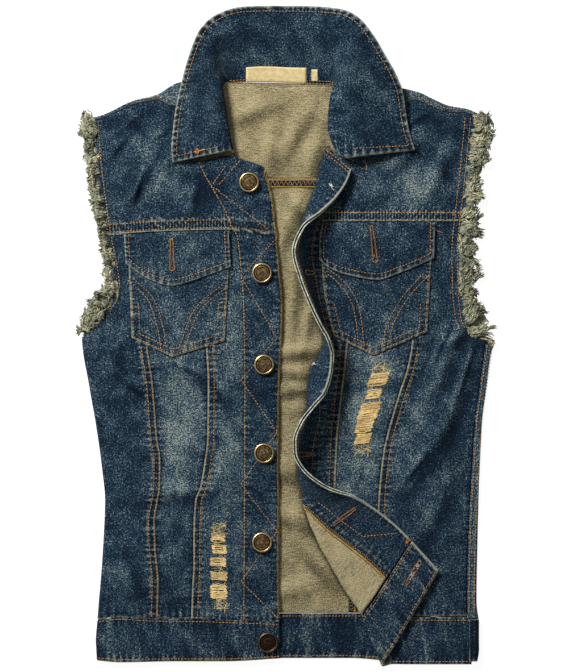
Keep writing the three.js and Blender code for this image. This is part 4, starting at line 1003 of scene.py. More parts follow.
def stitch_tree():
    """Places a stitch at even steps along each line, turned to follow it."""
    tree = Tree("Row of stitches")
    for name, value in (("Pitch", 0.0032), ("Length", 0.0027), ("Thickness", 0.0007)):
        tree.input(name, "Float", value)
    tree.input("Seed", "Int", 0)
    tree.input("Material", "Material")
    inputs = tree.source.outputs
    line = tree.add("GeometryNodeMeshToCurve", links={"Mesh": inputs["Geometry"]})
    spaced = tree.add("GeometryNodeResampleCurve", {"mode": "LENGTH"},
                      {"Curve": line.outputs[0], "Length": inputs["Pitch"]})
    tangent = tree.add("GeometryNodeInputTangent")
    turn = tree.add("FunctionNodeAxesToRotation", {"primary_axis": "Z", "secondary_axis": "X"}, {
        "Primary Axis": tangent.outputs[0], "Secondary Axis": tree.attribute("facing", "FLOAT_VECTOR")})
    bead = tree.add("GeometryNodeMeshUVSphere", links={"Segments": 6, "Rings": 3, "Radius": 0.5})
    uneven = tree.add("FunctionNodeRandomValue", {"data_type": "FLOAT"}, {"Seed": inputs["Seed"]})
    floats = [s for s in uneven.inputs if s.type == "VALUE" and s.enabled]
    floats[0].default_value, floats[1].default_value = 0.8, 1.08
    length = tree.add("ShaderNodeMath", {"operation": "MULTIPLY"})
    tree.tree.links.new(inputs["Length"], length.inputs[0])
    tree.tree.links.new([s for s in uneven.outputs if s.type == "VALUE" and s.enabled][0], length.inputs[1])
    size = tree.add("ShaderNodeCombineXYZ", links={
        "X": inputs["Thickness"], "Y": inputs["Thickness"], "Z": length.outputs[0]})
    beads = tree.add("GeometryNodeInstanceOnPoints", links={
        "Points": spaced.outputs[0], "Instance": bead.outputs[0], "Rotation": turn.outputs[0],
        "Scale": size.outputs[0]})
    soft = tree.add("GeometryNodeSetShadeSmooth", links={"Geometry": beads.outputs[0]})
    return tree.end(soft.outputs[0])


def yarn_tree():
    """Turns each line into a round yarn, as thick as the line's own thickness says."""
    tree = Tree("Yarns")
    tree.input("Sides", "Int", 4)
    tree.input("Scale", "Float", 1.0)
    tree.input("Material", "Material")
    inputs = tree.source.outputs
    line = tree.add("GeometryNodeMeshToCurve", links={"Mesh": inputs["Geometry"]})
    thick = tree.add("ShaderNodeMath", {"operation": "MULTIPLY"})
    tree.tree.links.new(tree.attribute("thickness", "FLOAT"), thick.inputs[0])
    tree.tree.links.new(inputs["Scale"], thick.inputs[1])
    ring = tree.add("GeometryNodeCurvePrimitiveCircle", links={"Resolution": inputs["Sides"], "Radius": 1.0})
    body = tree.add("GeometryNodeCurveToMesh", links={
        "Curve": line.outputs[0], "Profile Curve": ring.outputs[0], "Scale": thick.outputs[0],
        "Fill Caps": True})
    soft = tree.add("GeometryNodeSetShadeSmooth", links={"Geometry": body.outputs[0]})
    return tree.end(soft.outputs[0])


TREES = {"stitches": stitch_tree, "yarns": yarn_tree}


LOWEST = 0.0001          # metres above the surface, for threads and yarns


def grow(piece, kind, **values):
    """Runs one of the trees on a piece and keeps the result as its plain mesh."""
    tree = bpy.data.node_groups.get("Garment " + kind)
    if tree is None:
        tree = TREES[kind]()
        tree.name = "Garment " + kind
    modifier = piece.modifiers.new(kind, "NODES")
    modifier.node_group = tree
    names = {s.name: s.identifier for s in tree.interface.items_tree if s.in_out == "INPUT"}
    for key, value in values.items():
        modifier[names[key]] = value
    evaluated = piece.evaluated_get(bpy.context.evaluated_depsgraph_get())
    mesh = bpy.data.meshes.new_from_object(evaluated)
    piece.modifiers.remove(modifier)
    old = piece.data
    points = np.empty(len(mesh.vertices) * 3, np.float32)
    mesh.vertices.foreach_get("co", points)
    points[2::3] = np.maximum(points[2::3], LOWEST)
    mesh.vertices.foreach_set("co", points)
    piece.data = mesh
    mesh.name = piece.name
    bpy.data.meshes.remove(old)


def lines_piece(name, lines):
    """A piece of bare edges from lines, each an array of points with a field for each point."""
    mesh = bpy.data.meshes.new(name)
    points = np.concatenate([line["points"] for line in lines])
    sizes = np.array([len(line["points"]) for line in lines])
    index = np.arange(len(points))
    keep = np.ones(len(points), bool)
    keep[np.cumsum(sizes) - 1] = False
    edges = np.stack([index[keep], index[keep] + 1], -1)
    mesh.vertices.add(len(points))
    mesh.vertices.foreach_set("co", metres(points).astype(np.float32).ravel())
    mesh.edges.add(len(edges))
    mesh.edges.foreach_set("vertices", edges.astype(np.int32).ravel())
    for key in lines[0]:
        if key != "points":
            set_field(mesh, key, np.concatenate([
                np.broadcast_to(line[key], (len(line["points"]),) + np.shape(lines[0][key])[1:])
                if np.ndim(line[key]) == 0 else line[key] for line in lines]))
    mesh.update()
    return add_piece(name, mesh, [])


STITCH_LIFT = 0.12       # of a row's middle above the places it is given


def sew(name, rows, slot):
    """Sews rows of copper stitches. Each row is (points, facing) on the cloth's surface."""
    look = settings()
    lines = [{"points": p + f * STITCH_LIFT, "facing": f} for p, f in rows if len(p) > 1]
    piece = lines_piece(name, lines)
    grow(piece, "stitches", Pitch=look.stitch_pitch, Length=look.stitch_length,
         Thickness=look.thread_thickness, Seed=len(rows), Material=material("copper thread"))
    finish_piece(piece, slot)


def spin(name, lines, slot, yarn, sides=4):
    """Spins yarns along lines, which give points and thickness in mm."""
    for line in lines:
        radius = np.asarray(line["thickness"], float) * MM / 2
        line["thickness"] = np.broadcast_to(radius, len(line["points"]))
    piece = lines_piece(name, lines)
    grow(piece, "yarns", Sides=sides, Scale=1.0, Material=material(yarn))
    return finish_piece(piece, slot)


ROW_STEP = 1.5           # mm between the points of a row


def runs(start, end, step=2.0):
    """Places at even steps from start to end."""
    return np.linspace(start, end, max(3, int(abs(end - start) / step)))


def line_through(*points):
    """Points (x, y) at even steps on straight runs between corners."""
    parts = []
    for (x0, y0), (x1, y1) in zip(points[:-1], points[1:]):
        count = max(2, int(math.hypot(x1 - x0, y1 - y0) / ROW_STEP))
        parts.append(np.stack([np.linspace(x0, x1, count), np.linspace(y0, y1, count)], -1))
    return np.concatenate(parts)


def arc_through(*points):
    """Points (x, y) at even steps on a smooth curve through a few places."""
    knots = np.array([(x, y, 0) for x, y in points], float)
    length = np.sum(np.linalg.norm(np.diff(knots, axis=0), axis=-1))
    return curve_points(knots[None], max(4, int(length / ROW_STEP)))[0][0][:, :2]


# The fronts where they lie flat

SEAM_BEYOND, SEAM_OVER = 14, 24    # how far a felled seam shows beyond its edge, and over its band
YOKE_REACH, WAIST_REACH = 26, 20
POCKET_FOOT = 345                  # the felled seams run out below the pockets


def right_sewing(x, y):
    """Relief, wear and tone that the right front's seams give, as three grids; the tone holds the painted
    shade and shadow of their bands and hems.
    """
    outer, inner = right_outer_seam(y), right_inner_seam(y)
    yoke_y, waist_y = right_yoke_seam(x), right_waist_seam(x)
    seams = band(outer - x, y, 1) * (x < outer + SEAM_BEYOND) * (x > outer - SEAM_OVER)
    seams = seams + band(x - inner, y, 2) * (x > inner - SEAM_BEYOND) * (x < inner + SEAM_OVER)
    seams = seams * smooth((POCKET_FOOT - y) / 12) * (y < yoke_y)
    yoke = band(y - yoke_y, x, 3, 11, (2.4, 10), ripple=0.8, pitch=3.1)
    waist = hem_edge(np.abs(y - waist_y), x, 4, 1.6)
    waist[1] *= 0.7
    on_placket = (x > right_placket_seam(y)) * (x > -92)
    for into, seed in ((right_front_edge(y) - x, 9), (x - right_placket_seam(y), 10)):
        near = hem_edge(np.maximum(into, 0), y, seed, 1.4, 0.6) * on_placket
        near[1] *= 0.5
        seams = seams + near
    return seams + yoke * (np.abs(y - yoke_y) < YOKE_REACH) + waist * (np.abs(y - waist_y) < WAIST_REACH)


def left_sewing(x, y):
    """The same for the left front."""
    seam = left_outer_seam(y)
    outer = band(x - seam, y, 5) * (x > seam - SEAM_BEYOND) * (x < seam + SEAM_OVER)
    outer = outer * smooth((POCKET_FOOT - y) / 12)
    yoke = band(y - LEFT_YOKE, x, 6, 9, (1.6, 8.6), ripple=0.7, pitch=3.4)
    side = band(x - left_side_seam(y), y, 7, 8) * (np.abs(x - left_side_seam(y)) < 20) * (y < LEFT_ARMPIT)
    waist = hem_edge(np.abs(y - LEFT_WAIST), x, 8, 1.6)
    return outer + yoke * (np.abs(y - LEFT_YOKE) < YOKE_REACH) + side + waist * (
        np.abs(y - LEFT_WAIST) < WAIST_REACH)


def right_face(x, y):
    """Point of the right front's outer face."""
    x, y = together(x, y)
    z = front_height(x, y) + front_wrinkles(x, y) + CLOTH / 2 + right_sewing(x, y)[0]
    return np.stack([x, y, z], -1)


def left_face(x, y):
    """Point of the left front's outer face."""
    x, y = together(x, y)
    z = left_height(x, y) + front_wrinkles(x, y) + CLOTH / 2 + left_sewing(x, y)[0]
    return np.stack([x, y, z], -1)


RIGHT = (right_face, right_sewing)
LEFT = (left_face, left_sewing)
GRID_STEP = 2.2          # mm between the lines of a front panel's grid


def front_piece(name, node, slot, side, base, limits, edges=(PLAIN,) * 4,
                thickness=CLOTH, lift=0.0):
    """A front panel that lies flat. base is its tone, limits are its left, right, bottom and top edges,
    and edges the marks of its grid at them."""
    face, sewing = side
    x, y = panel_grid(*limits, GRID_STEP, edges)
    over = face(x, y)
    over[..., 2] += thickness - CLOTH + lift
    under = over.copy()
    relief, worn, fade_and_shade = sewing(x, y)
    under[..., 2] -= thickness + relief
    weave = np.stack([x, y], -1)
    ribs = (edges[2] is WIDE_BAND) * np.exp(-((y - limits[2](x) - 5.5) / 6.0) ** 6)
    piece = shell(name, over, under, weave, cloth_sides(), fade_and_shade_at(x, y, base) + fade_and_shade, worn, ribs=ribs)
    finish_piece(piece, slot, node)
    declare_sheet(weave)


def right_neck_side(y):
    """The right yoke's inner edge: the placket's seam, and above it the neckline."""
    return np.where(y < 508, right_placket_seam(y), right_neckline(y))


def right_panels():
    """The right front's panels, yoke and button placket, but for its side panel."""
    front_piece("right_middle_panel", "right_front_middle", "faded_denim", RIGHT, 0.41,
                (right_outer_seam, right_inner_seam, right_waist_seam, right_yoke_seam))
    front_piece("right_centre_panel", "right_front_centre", "denim", RIGHT, 0.42,
                (right_inner_seam, right_placket_seam, right_waist_seam, right_yoke_seam),
                (BAND, PLAIN, PLAIN, PLAIN))
    front_piece("right_yoke", "right_front_yoke", "faded_denim", RIGHT, 0.33,
                (right_outline, right_neck_side, right_yoke_seam, shoulder_seam),
                (PLAIN, PLAIN, WIDE_BAND, PLAIN))
    front_piece("right_button_placket", "right_placket", "dark_denim", RIGHT, 0.31,
                (right_placket_seam, right_front_edge, right_waist_seam, right_placket_top),
                (PLAIN, (0, 0.8, 1.8, 3.2, 5), PLAIN, PLAIN), DOUBLE, PLACKET_LIFT)


PLACKET_LIFT = 0.3       # of the button placket above the panel that it is sewn on
FOLD_COLUMNS = 9
LIP_COLUMNS = 3


RAW_COLUMNS_WIDTH = 7.2  # at the raw armhole the fold's columns lie flat in this width


def right_side_grid(y):
    """Rows of the right side panel's middle: from the lip under the fold, round it and over the top to
    the seam. Above the armpit the cloth ends at its raw edge."""
    outline, seam = right_outline(y), right_outer_seam(y) - 0.3
    centre = outline + FOLD_RADIUS + CLOTH / 2
    a, b, used = spread((0, 2.2), BAND, float(np.max(seam - centre)), GRID_STEP)
    folded = LIP_COLUMNS + FOLD_COLUMNS
    grid = np.empty((len(y), folded + len(a), 3))
    grid[..., 1] = y[:, None]
    under = np.linspace(0, 1, LIP_COLUMNS, endpoint=False)
    grid[:, :LIP_COLUMNS, 0] = mix((centre + FOLD_LIP)[:, None], centre[:, None], under)
    grid[:, :LIP_COLUMNS, 2] = BACK_MID
    angle = np.linspace(0, math.pi, FOLD_COLUMNS, endpoint=False)
    grid[:, LIP_COLUMNS:folded, 0] = centre[:, None] - FOLD_RADIUS * np.sin(angle)
    grid[:, LIP_COLUMNS:folded, 2] = BACK_MID + FOLD_RADIUS - FOLD_RADIUS * np.cos(angle)
    raw = y >= RIGHT_ARMPIT
    grid[raw, :folded, 0] = outline[raw, None] + np.linspace(0, RAW_COLUMNS_WIDTH, folded)
    start = np.where(raw, outline + RAW_COLUMNS_WIDTH + 0.9, centre)[:, None]
    grid[:, folded:, 0] = start + a + b * (seam[:, None] - start - used)
    flat = np.ones(grid.shape[:2], bool)
    flat[~raw, :folded] = False
    z = right_face(grid[..., 0], grid[..., 1])[..., 2] - CLOTH / 2
    grid[..., 2] = np.where(flat, z, grid[..., 2])
    return grid


def right_side_panel():
    """The right front's side panel, which goes round the side fold."""
    bottom, top = float(right_waist_seam(-160)) + EDGE_GAP, float(right_yoke_seam(-160)) - EDGE_GAP
    grid = right_side_grid(np.linspace(bottom, top, 178))
    blend_ends(grid, right_waist_seam, right_yoke_seam, bottom, top)
    relief, worn, fade_and_shade = right_sewing(grid[..., 0], grid[..., 1])
    flat = grid[..., 2] > FRONT_MID - 0.4
    normals = grid_normals(grid)
    over = grid + normals * CLOTH / 2
    under = grid - normals * (CLOTH / 2 + np.where(flat, np.maximum(relief, 0), 0))[..., None]
    weave = cloth_places(grid)
    piece = shell("right_side_panel", over, under, weave, cloth_sides(),
                  fade_and_shade_at(grid[..., 0], grid[..., 1], 0.33) + fade_and_shade * flat, worn * flat)
    finish_piece(piece, "denim", "right_front_side")
    declare_sheet(weave)


def blend_ends(grid, bottom, top, low, high):
    """Moves the first and last rows of a grid on to the seams there, and eases their neighbours."""
    y = grid[:, :1, 1]
    near_low, near_high = 1 - smooth((y - low) / 20), smooth((y - (high - 20)) / 20)
    grid[..., 1] += near_low * (bottom(grid[..., 0]) + EDGE_GAP - low)
    grid[..., 1] += near_high * (top(grid[..., 0]) - EDGE_GAP - high)


def grid_normals(grid):
    """Which way a grid of points faces at each of them."""
    return unit(np.cross(np.gradient(grid, axis=1), np.gradient(grid, axis=0)))


def cloth_places(grid):
    """Places on the cloth: distance across, along each row, and the height of the row."""
    run = distances(grid)
    return np.stack([run - run[:, -1:] + grid[:, -1:, 0], grid[..., 1]], -1)


def left_panels():
    """The left front's panels and yoke where they lie flat."""
    front_piece("left_middle_panel", "left_front_middle", "faded_denim", LEFT, 0.45,
                (lambda y: left_inner_seam(y) + 0.1, left_outer_seam, left_waist_seam, left_yoke_seam))
    front_piece("left_side_panel", "left_front_side", "denim", LEFT, 0.34,
                (left_outer_seam, left_armhole_front, left_waist_seam, left_yoke_seam),
                (BAND, PLAIN, PLAIN, PLAIN))
    front_piece("left_yoke", "left_front_yoke", "faded_denim", LEFT, 0.36,
                (left_yoke_inner, left_outline, left_yoke_seam, shoulder_seam),
                (PLAIN, PLAIN, WIDE_BAND, PLAIN))


# The left front's free edge, which stands up and falls back

def turned_shell(name, levels, places, middle, thickness, base, sewing, materials):
    """Cloth that follows the turned front. levels gives the heights of its rows, places each row's
    distances from the free edge, and middle how far its own middle lies outside the table's."""
    y = np.broadcast_to(levels[:, None], places.shape)
    facing = normals_of(turned_at, places, y, *TURNED_STEP)
    centre = turned_at(places, y) + facing * np.asarray(middle)[..., None]
    relief, worn, fade_and_shade = sewing(places, y)
    wrinkle = 0.5 * noise(places / 16, y / 12, 31) + 0.2 * noise(places / 6, y / 7, 32)
    centre = centre + facing * (wrinkle * smooth(places / 6))[..., None]
    over = centre + facing * (thickness / 2 + relief)[..., None]
    under = centre - facing * (thickness / 2 + relief * 0.6)[..., None]
    weave = np.stack([places, y], -1)
    mottle = 0.07 * noise(places / 12, y / 10, 33)
    return shell(name, over, under, weave, materials, base + fade_and_shade + mottle, worn), weave


def placket_sewing(d, y):
    """Relief, wear and tone of the turned placket: its free edge, and the rows beside its seam. The tone
    holds painted shade in the pucker troughs and grooves.
    """
    edge = hem_edge(d, y, 41, 3.4, 0.7)
    edge[0] *= smooth(d / 5)
    edge[2] *= smooth(d / 4)
    edge[1] += 1.15 * np.exp(-(d / 1.6) ** 4)
    seam = hem_edge(np.abs(PLACKET_WIDTH - d), y, 42, 2.0, 0.35)
    seam[1] *= 0.5
    return edge + seam


def centre_sewing(d, y):
    """The same for the panel beside it, with the felled seam along its far edge."""
    seam = band(along_to(y, left_inner_seam(y)) - 0.2 - d, y, 43)
    near = hem_edge(np.abs(d - PLACKET_WIDTH), y, 42, 2.0, 0.35)
    near[1] *= 0.4
    return seam * smooth((352 - y) / 10) + near


def ply_gap(d):
    """How far each ply of the placket lies from their common middle: they part at the rubbed edge."""
    return mix(1.3, 0.62, smooth(d / 9))


EDGE_MARKS = (0, 0.5, 1.2, 2.2, 3.4, 4.6)    # columns beside the free edge
PLACKET_TOP = 517


def facing_gap(d):
    """The same for the facing, which lies on the panel beyond the placket's seam."""
    return -np.where(d < 36, ply_gap(d), mix(0.62, 1.25, smooth((d - 36) / 4)))


def placket_ply(name, marks, middle, thickness, base, materials, rests_on, *nodes):
    """One ply of the left placket; marks are its columns' distances from the free edge."""
    levels = np.linspace(LEFT_WAIST + EDGE_GAP, PLACKET_TOP, 212)
    places = np.broadcast_to(marks, (len(levels), len(marks)))
    piece, weave = turned_shell(name, levels, places, middle(places), thickness, base,
                                placket_sewing, materials)
    finish_piece(piece, "dark_denim", *nodes)
    declare_sheet(weave)


def build_left_placket():
    """The left placket's face and its facing."""
    marks = np.concatenate([EDGE_MARKS, np.linspace(6, 34, 15), [35.4, 36.6, 37.85]])
    placket_ply("left_placket_face", marks, ply_gap, 1.2, 0.28, cloth_sides("denim", "denim"),
                "left_placket_facing", "left_placket")
    marks = np.concatenate([EDGE_MARKS, np.linspace(6, 43, 20), [44.2, 45.2, FACING_WIDTH]])
    placket_ply("left_placket_facing", marks, facing_gap, 1.0, 0.27, cloth_sides("khaki", "denim"),
                "left_centre_panel")


def build_left_centre():
    """The panel beside the left placket, which turns over with it."""
    levels = np.linspace(LEFT_WAIST + 1.2, LEFT_YOKE - EDGE_GAP, 180)
    ends = along_to(levels, left_inner_seam(levels)) - 0.3
    a, b, used = spread((0, 1.6, 3.2), BAND, float(np.max(ends)) - PLACKET_WIDTH, GRID_STEP)
    start = PLACKET_WIDTH + EDGE_GAP
    places = start + a + b * (ends[:, None] - start - used)
    # Its wrong side is the lit khaki, with painted light.
    piece, weave = turned_shell("left_centre_panel", levels, places, 0.0 * places, CLOTH, 0.42,
                                centre_sewing, cloth_sides("denim", "lit khaki"))
    finish_piece(piece, "denim", "left_front_centre")
    declare_sheet(weave)


# Waistbands: two plies, both of them the denim's face

def band_wear(into_low, into_high, run, seed):
    """A waistband's relief, wear and tone from its distances to the hem and to the waist seam. The tone is
    paler on the drag ridges with wear, with painted shade in the troughs between them and in the hems' pucker
    troughs.
    """
    hem = hem_edge(into_low, run, seed, 2.4, 0.5)
    seam = hem_edge(into_high, run, seed + 1, 2.0, 0.4)
    seam[1] *= 0.35
    slant = run + 0.16 * into_low
    ridge = 1 - 2.4 * np.abs(noise(slant / 11, into_low / 46, seed + 2))
    drag = 0.8 * ridge + 0.6 * noise(slant / 4.5, into_low / 22, seed + 3)
    # The tone follows the drag: worn ridges, painted shade in the troughs.
    return hem + seam + np.stack([0.6 * drag, 0.24 * np.maximum(drag, 0), 0.2 * drag])


BAND_BASE = 0.23         # how faded the waistbands are
BAND_FLOOR = 0.05        # they stay this far above the surface
band_grids = {}


def band_shell(name, grid, low, high, seed, node, tone=0.0):
    """A waistband from the grid of its middle; low and high are its distances to its two edges."""
    weave = cloth_places(grid)
    weave[..., 1] = distances(grid.swapaxes(0, 1)).T
    relief, worn, fade_and_shade = band_wear(low, high, weave[..., 0], seed)
    facing = grid_normals(grid)
    over = grid + facing * (DOUBLE / 2 + relief)[..., None]
    under = grid - facing * (DOUBLE / 2 + 0.3 * relief)[..., None]
    for side in (over, under):
        side[..., 2] = np.maximum(side[..., 2], BAND_FLOOR)
    fade_and_shade = BAND_BASE + tone + fade_and_shade + 0.05 * noise(weave[..., 0] / 22, 0.5, seed)
    piece = shell(name, over, under, weave, cloth_sides("denim", "denim"), fade_and_shade, worn)
    finish_piece(piece, "dark_denim", node)
    declare_sheet(weave)


BACK_BAND_END = -176.5
TAB_EDGE = 180           # the back waistband laps over the left front as far as this
BAND_ROWS_COUNT = 24


def back_waistband_grid():
    """The back waistband's middle: flat, round the left side and over the left front."""
    share = np.linspace(0, 1, BAND_ROWS_COUNT)[:, None]
    top = BACK_WAIST - EDGE_GAP
    over_y = mix(6, 48, share)
    flat_z, over_z = BAND_BACK, BAND_FRONT + DOUBLE + 0.4
    r = (over_z - flat_z) / 2
    centre = left_outline(over_y) - (r + DOUBLE / 2)
    angle = np.linspace(0, math.pi, 10)[1:]
    x = np.concatenate([mix(BACK_BAND_END + EDGE_GAP, centre, np.linspace(0, 1, 150)),
                        centre + r * np.sin(angle), mix(centre, TAB_EDGE, np.linspace(0, 1, 5)[1:])], axis=1)
    z = np.concatenate([np.full(150, flat_z), flat_z + r - r * np.cos(angle), np.full(4, over_z)])
    y = mix(mix(back_hem(x), top, share), over_y, smooth((x - 100) / 80))
    return np.stack([x, y, np.broadcast_to(z, x.shape)], -1), share


def build_back_waistband():
    """The back waistband, 44 mm deep."""
    grid, share = back_waistband_grid()
    band_grids["back"] = grid
    low = np.broadcast_to(share * 44, grid.shape[:2])
    on_lap = grid[..., 2] > BAND_FRONT
    high = np.minimum(44 - low, np.where(on_lap, np.maximum(grid[..., 0] - TAB_EDGE, 0), 44))
    band_shell("back_waistband_piece", grid, low, high, 51, "back_waistband", tone=-0.1)


def build_right_waistband():
    """The right front's waistband, round the right side to the back one."""
    share = np.linspace(0, 1, BAND_ROWS_COUNT)[:, None]
    r = (BAND_FRONT - BAND_BACK) / 2
    centre = right_outline(mix(7, 48, share)) + r + DOUBLE / 2
    angle = np.linspace(math.pi, 0, 10)[1:]
    start = right_front_edge(mix(9, 45, share))
    x = np.concatenate([mix(start, centre, np.linspace(0, 1, 86)), centre - r * np.sin(angle),
                        mix(centre, BACK_BAND_END - EDGE_GAP, np.linspace(0, 1, 5)[1:])], axis=1)
    z = np.concatenate([np.full(86, BAND_FRONT), BAND_BACK + r - r * np.cos(angle), np.full(4, BAND_BACK)])
    y = mix(right_hem(x), right_waist_seam(x) - EDGE_GAP, share)
    grid = np.stack([x, y, np.broadcast_to(z, x.shape)], -1)[:, ::-1]
    band_grids["right"] = grid
    low = np.broadcast_to(share * 42, grid.shape[:2])
    band_shell("right_waistband", grid, low, 42 - low, 55, "right_front_waistband")


def left_band_at(d, y):
    """A point of the left waistband's middle, d from its free edge."""
    path, length = turned_at(d, y), path_length(y)
    ends = turned_at(length, y)
    end_x = left_outline(y) - 5.6
    x = ends[..., 0] + d - length
    share = (x - ends[..., 0]) / (end_x - ends[..., 0])
    flat = np.stack([x, y + 0 * x, mix(ends[..., 2], BAND_FRONT, smooth(share * 2))], -1)
    return np.where((d > length)[..., None], flat, path)


def build_left_waistband():
    """The left front's waistband, turned over with its front."""
    y = np.linspace(3, 49.9, BAND_ROWS_COUNT)[:, None]
    length = path_length(y)
    total = length + (left_outline(y) - 5.6) - turned_at(length, y)[..., 0]
    d = np.linspace(0, 1, 120) * total
    grid = left_band_at(d, y + 0 * d)
    band_grids["left"] = grid
    low = y - 3 + 0 * d
    band_shell("left_waistband", grid, np.minimum(low, d), 47 - low, 59,
               "left_front_waistband")


# Chest pockets and their flaps

right_pocket_left = through((329, -157), (420, -161))
right_pocket_right = through((326, -64), (420, -59))
right_pocket_bottom = straight((-157, 329), (-116.5, 310), (-64, 326))
left_pocket_left = through((334, 43.8), (352, 39.4), (375, 35), (420, 31.5))
left_pocket_right = through((335, 138), (420, 143))
left_pocket_bottom = straight((43, 332), (84, 311.5), (138, 335))
right_flap_left = through((400, -163), (434, -165))
right_flap_right = through((400, -58), (434, -60))
right_flap_bottom = through(
    (-163, 403), (-155, 397), (-139, 387), (-118, 381), (-100, 385), (-80, 392), (-58, 400))
left_flap_left = through((408, 30), (430, 30.5), (446, 34))
left_flap_right = through((408, 145), (446, 146))
left_flap_bottom = through((30, 407), (40, 399), (60, 391.5), (89, 387), (108, 393), (128, 401), (145, 409))
POCKET_LIFT = 0.6
FLAP_CLOTH = 1.8
FLAP_LIFT = POCKET_LIFT + CLOTH + 0.35


def patch_height(x, y):
    """Height of the panel's middle under a pocket or flap."""
    base = np.where(np.asarray(x) < 0, front_height(x, y), left_height(np.maximum(x, 1), y))
    return base + front_wrinkles(x, y)


class Patch:
    """A pocket or flap sewn on a front: its four edges, its height above the panel, its thickness, a
    seed and the place of its row of stitches."""

    def __init__(self, left, right, bottom, top, lift, thickness, seed, row):
        self.limits = (left, right, bottom, top)
        self.lift, self.thickness, self.seed, self.row = lift, thickness, seed, row

    def sewing(self, x, y):
        """Relief, wear and tone beside its edges, the tone with painted shade in the pucker troughs and the
        stitch groove.
        """
        left, right, bottom, _ = self.limits
        slope = bottom(x + 0.5) - bottom(x - 0.5)
        below = (y - bottom(x)) / np.sqrt(1 + slope ** 2)
        nearest = np.minimum(np.minimum(x - left(y), right(y) - x), below)
        run = np.where(nearest == below, x, y)
        return hem_edge(np.maximum(nearest, 0), run, self.seed, self.row, 0.55)

    def face(self, x, y):
        """Point of its outer face."""
        x, y = together(x, y)
        billow = 0.5 * noise(x / 24, y / 24, self.seed) + 0.2 * noise(x / 9, y / 11, self.seed + 1)
        z = patch_height(x, y) + CLOTH / 2 + self.lift + self.thickness + billow + self.sewing(x, y)[0]
        return np.stack([x, y, z], -1)

    def build(self, name, node, slot, base):
        """Makes it as a piece that stands for a node."""
        marks = (0, 0.8, 1.9, 3.0, 4.4)
        x, y = panel_grid(*self.limits, 2.0, (marks, marks, marks, (0, 1.5)))
        over = self.face(x, y)
        relief, worn, fade_and_shade = self.sewing(x, y)
        under = over.copy()
        under[..., 2] -= self.thickness + relief
        weave = np.stack([x, y], -1)
        piece = shell(name, over, under, weave, cloth_sides(), fade_and_shade_at(x, y, base) + fade_and_shade, worn)
        finish_piece(piece, slot, node)
        declare_sheet(weave)


right_pocket = Patch(right_pocket_left, right_pocket_right, right_pocket_bottom, always(424),
                     POCKET_LIFT, CLOTH, 61, 1.9)
left_pocket = Patch(left_pocket_left, left_pocket_right, left_pocket_bottom, always(430),
                    POCKET_LIFT, CLOTH, 63, 1.9)
right_flap = Patch(right_flap_left, right_flap_right, right_flap_bottom, lambda x: right_yoke_seam(x) - 1,
                   FLAP_LIFT, FLAP_CLOTH, 65, 5.4)
left_flap = Patch(left_flap_left, left_flap_right, left_flap_bottom, lambda x: left_yoke_seam(x) - 1,
                  FLAP_LIFT, FLAP_CLOTH, 67, 5.4)


# Collar, neck label and size tab

def collar_edges(along, share):
    """Distances in mm from a place on the collar to its outer edge and to its nearer front end, and
    its distance from the right front end."""
    reach = np.interp(along, collar_steps, collar_lengths)
    place = np.interp(along, collar_steps, collar_run)
    return (1 - share) * reach, np.minimum(place, collar_run[-1] - place), place


def collar_sewing(along, share):
    """Relief, wear and tone beside the collar's edge and its neck seam; the edge's tone, with its painted
    shade in the pucker troughs, is made stronger.
    """
    outer, end, place = collar_edges(along, share)
    nearest = np.minimum(outer, end)
    run = np.where(outer < end, place, share * 60)
    edge = hem_edge(nearest, run, 71, 5.6, 0.8) * np.array([1, 1.25, 1.4]).reshape(3, *[1] * np.ndim(nearest))
    neck = hem_edge(share * 70, place, 72, 3, 0.3)
    neck[1] *= 0.2
    return edge + neck


def collar_face(along, share):
    """Point of the collar's outer face."""
    along, share = together(along, share)
    facing = normals_of(collar_at, along, share, *COLLAR_STEP)
    place = collar_edges(along, share)[2]
    wave = 0.7 * noise(place / 30, share * 3, 73) + 0.35 * noise(place / 12, share * 6, 74)
    wave = wave * smooth(share / 0.15)
    return collar_at(along, share) + facing * (DOUBLE / 2 + wave + collar_sewing(along, share)[0])[..., None]


def build_collar():
    """The collar, two plies of denim."""
    share = np.concatenate([np.linspace(0, 0.9, 28), [0.925, 0.945, 0.96, 0.975, 0.988, 1.0]])
    u, v = np.meshgrid(np.linspace(0, 1, 231), share)
    over = collar_face(u, v)
    relief, worn, fade_and_shade = collar_sewing(u, v)
    under = over - normals_of(collar_at, u, v, *COLLAR_STEP) * (DOUBLE + relief * 0.5)[..., None]
    place = collar_edges(u, v)[2]
    weave = np.stack([place, v * COLLAR_DEPTH], -1)
    # Painted highlight along the collar's roll.
    rolled = 0.1 * np.exp(-((v - 0.3) / 0.12) ** 2)
    mottle = 0.16 * noise(place / 16, v * 5, 75) + 0.12 * noise(place / 6, v * 11, 76)
    tone = 0.26 + fade_and_shade + rolled + mottle
    piece = shell("collar_piece", over, under, weave, cloth_sides("denim", "denim"), tone, worn)
    finish_piece(piece, "collar", "collar")
    declare_sheet(weave)


def collar_along(x, share):
    """Where along the collar a place x lies, between the shoulders, at one share across."""
    fine = np.linspace(0.3, 0.75, 400)
    return np.interp(x, collar_at(fine, share)[:, 0], fine)


def build_label(name, node, x0, x1, s0, s1, thickness):
    """A tape sewn on inside the neck. Gives the piece and its places on the cloth."""
    shares = np.linspace(s0, s1, 10)
    u = np.stack([collar_along(np.linspace(x0, x1, 24), share) for share in shares])
    v = np.broadcast_to(shares[:, None], u.shape)
    over = collar_face(u, v)
    over[..., 2] += thickness
    under = over - [0, 0, thickness]
    weave = np.stack([cloth_places(over)[..., 0], v * COLLAR_DEPTH], -1)
    piece = shell(name, over, under, weave, [material("tape")] * 3, 0.5)
    finish_piece(piece, "label", node)
    return piece, weave


# Back, which lies on the surface with its outer face down

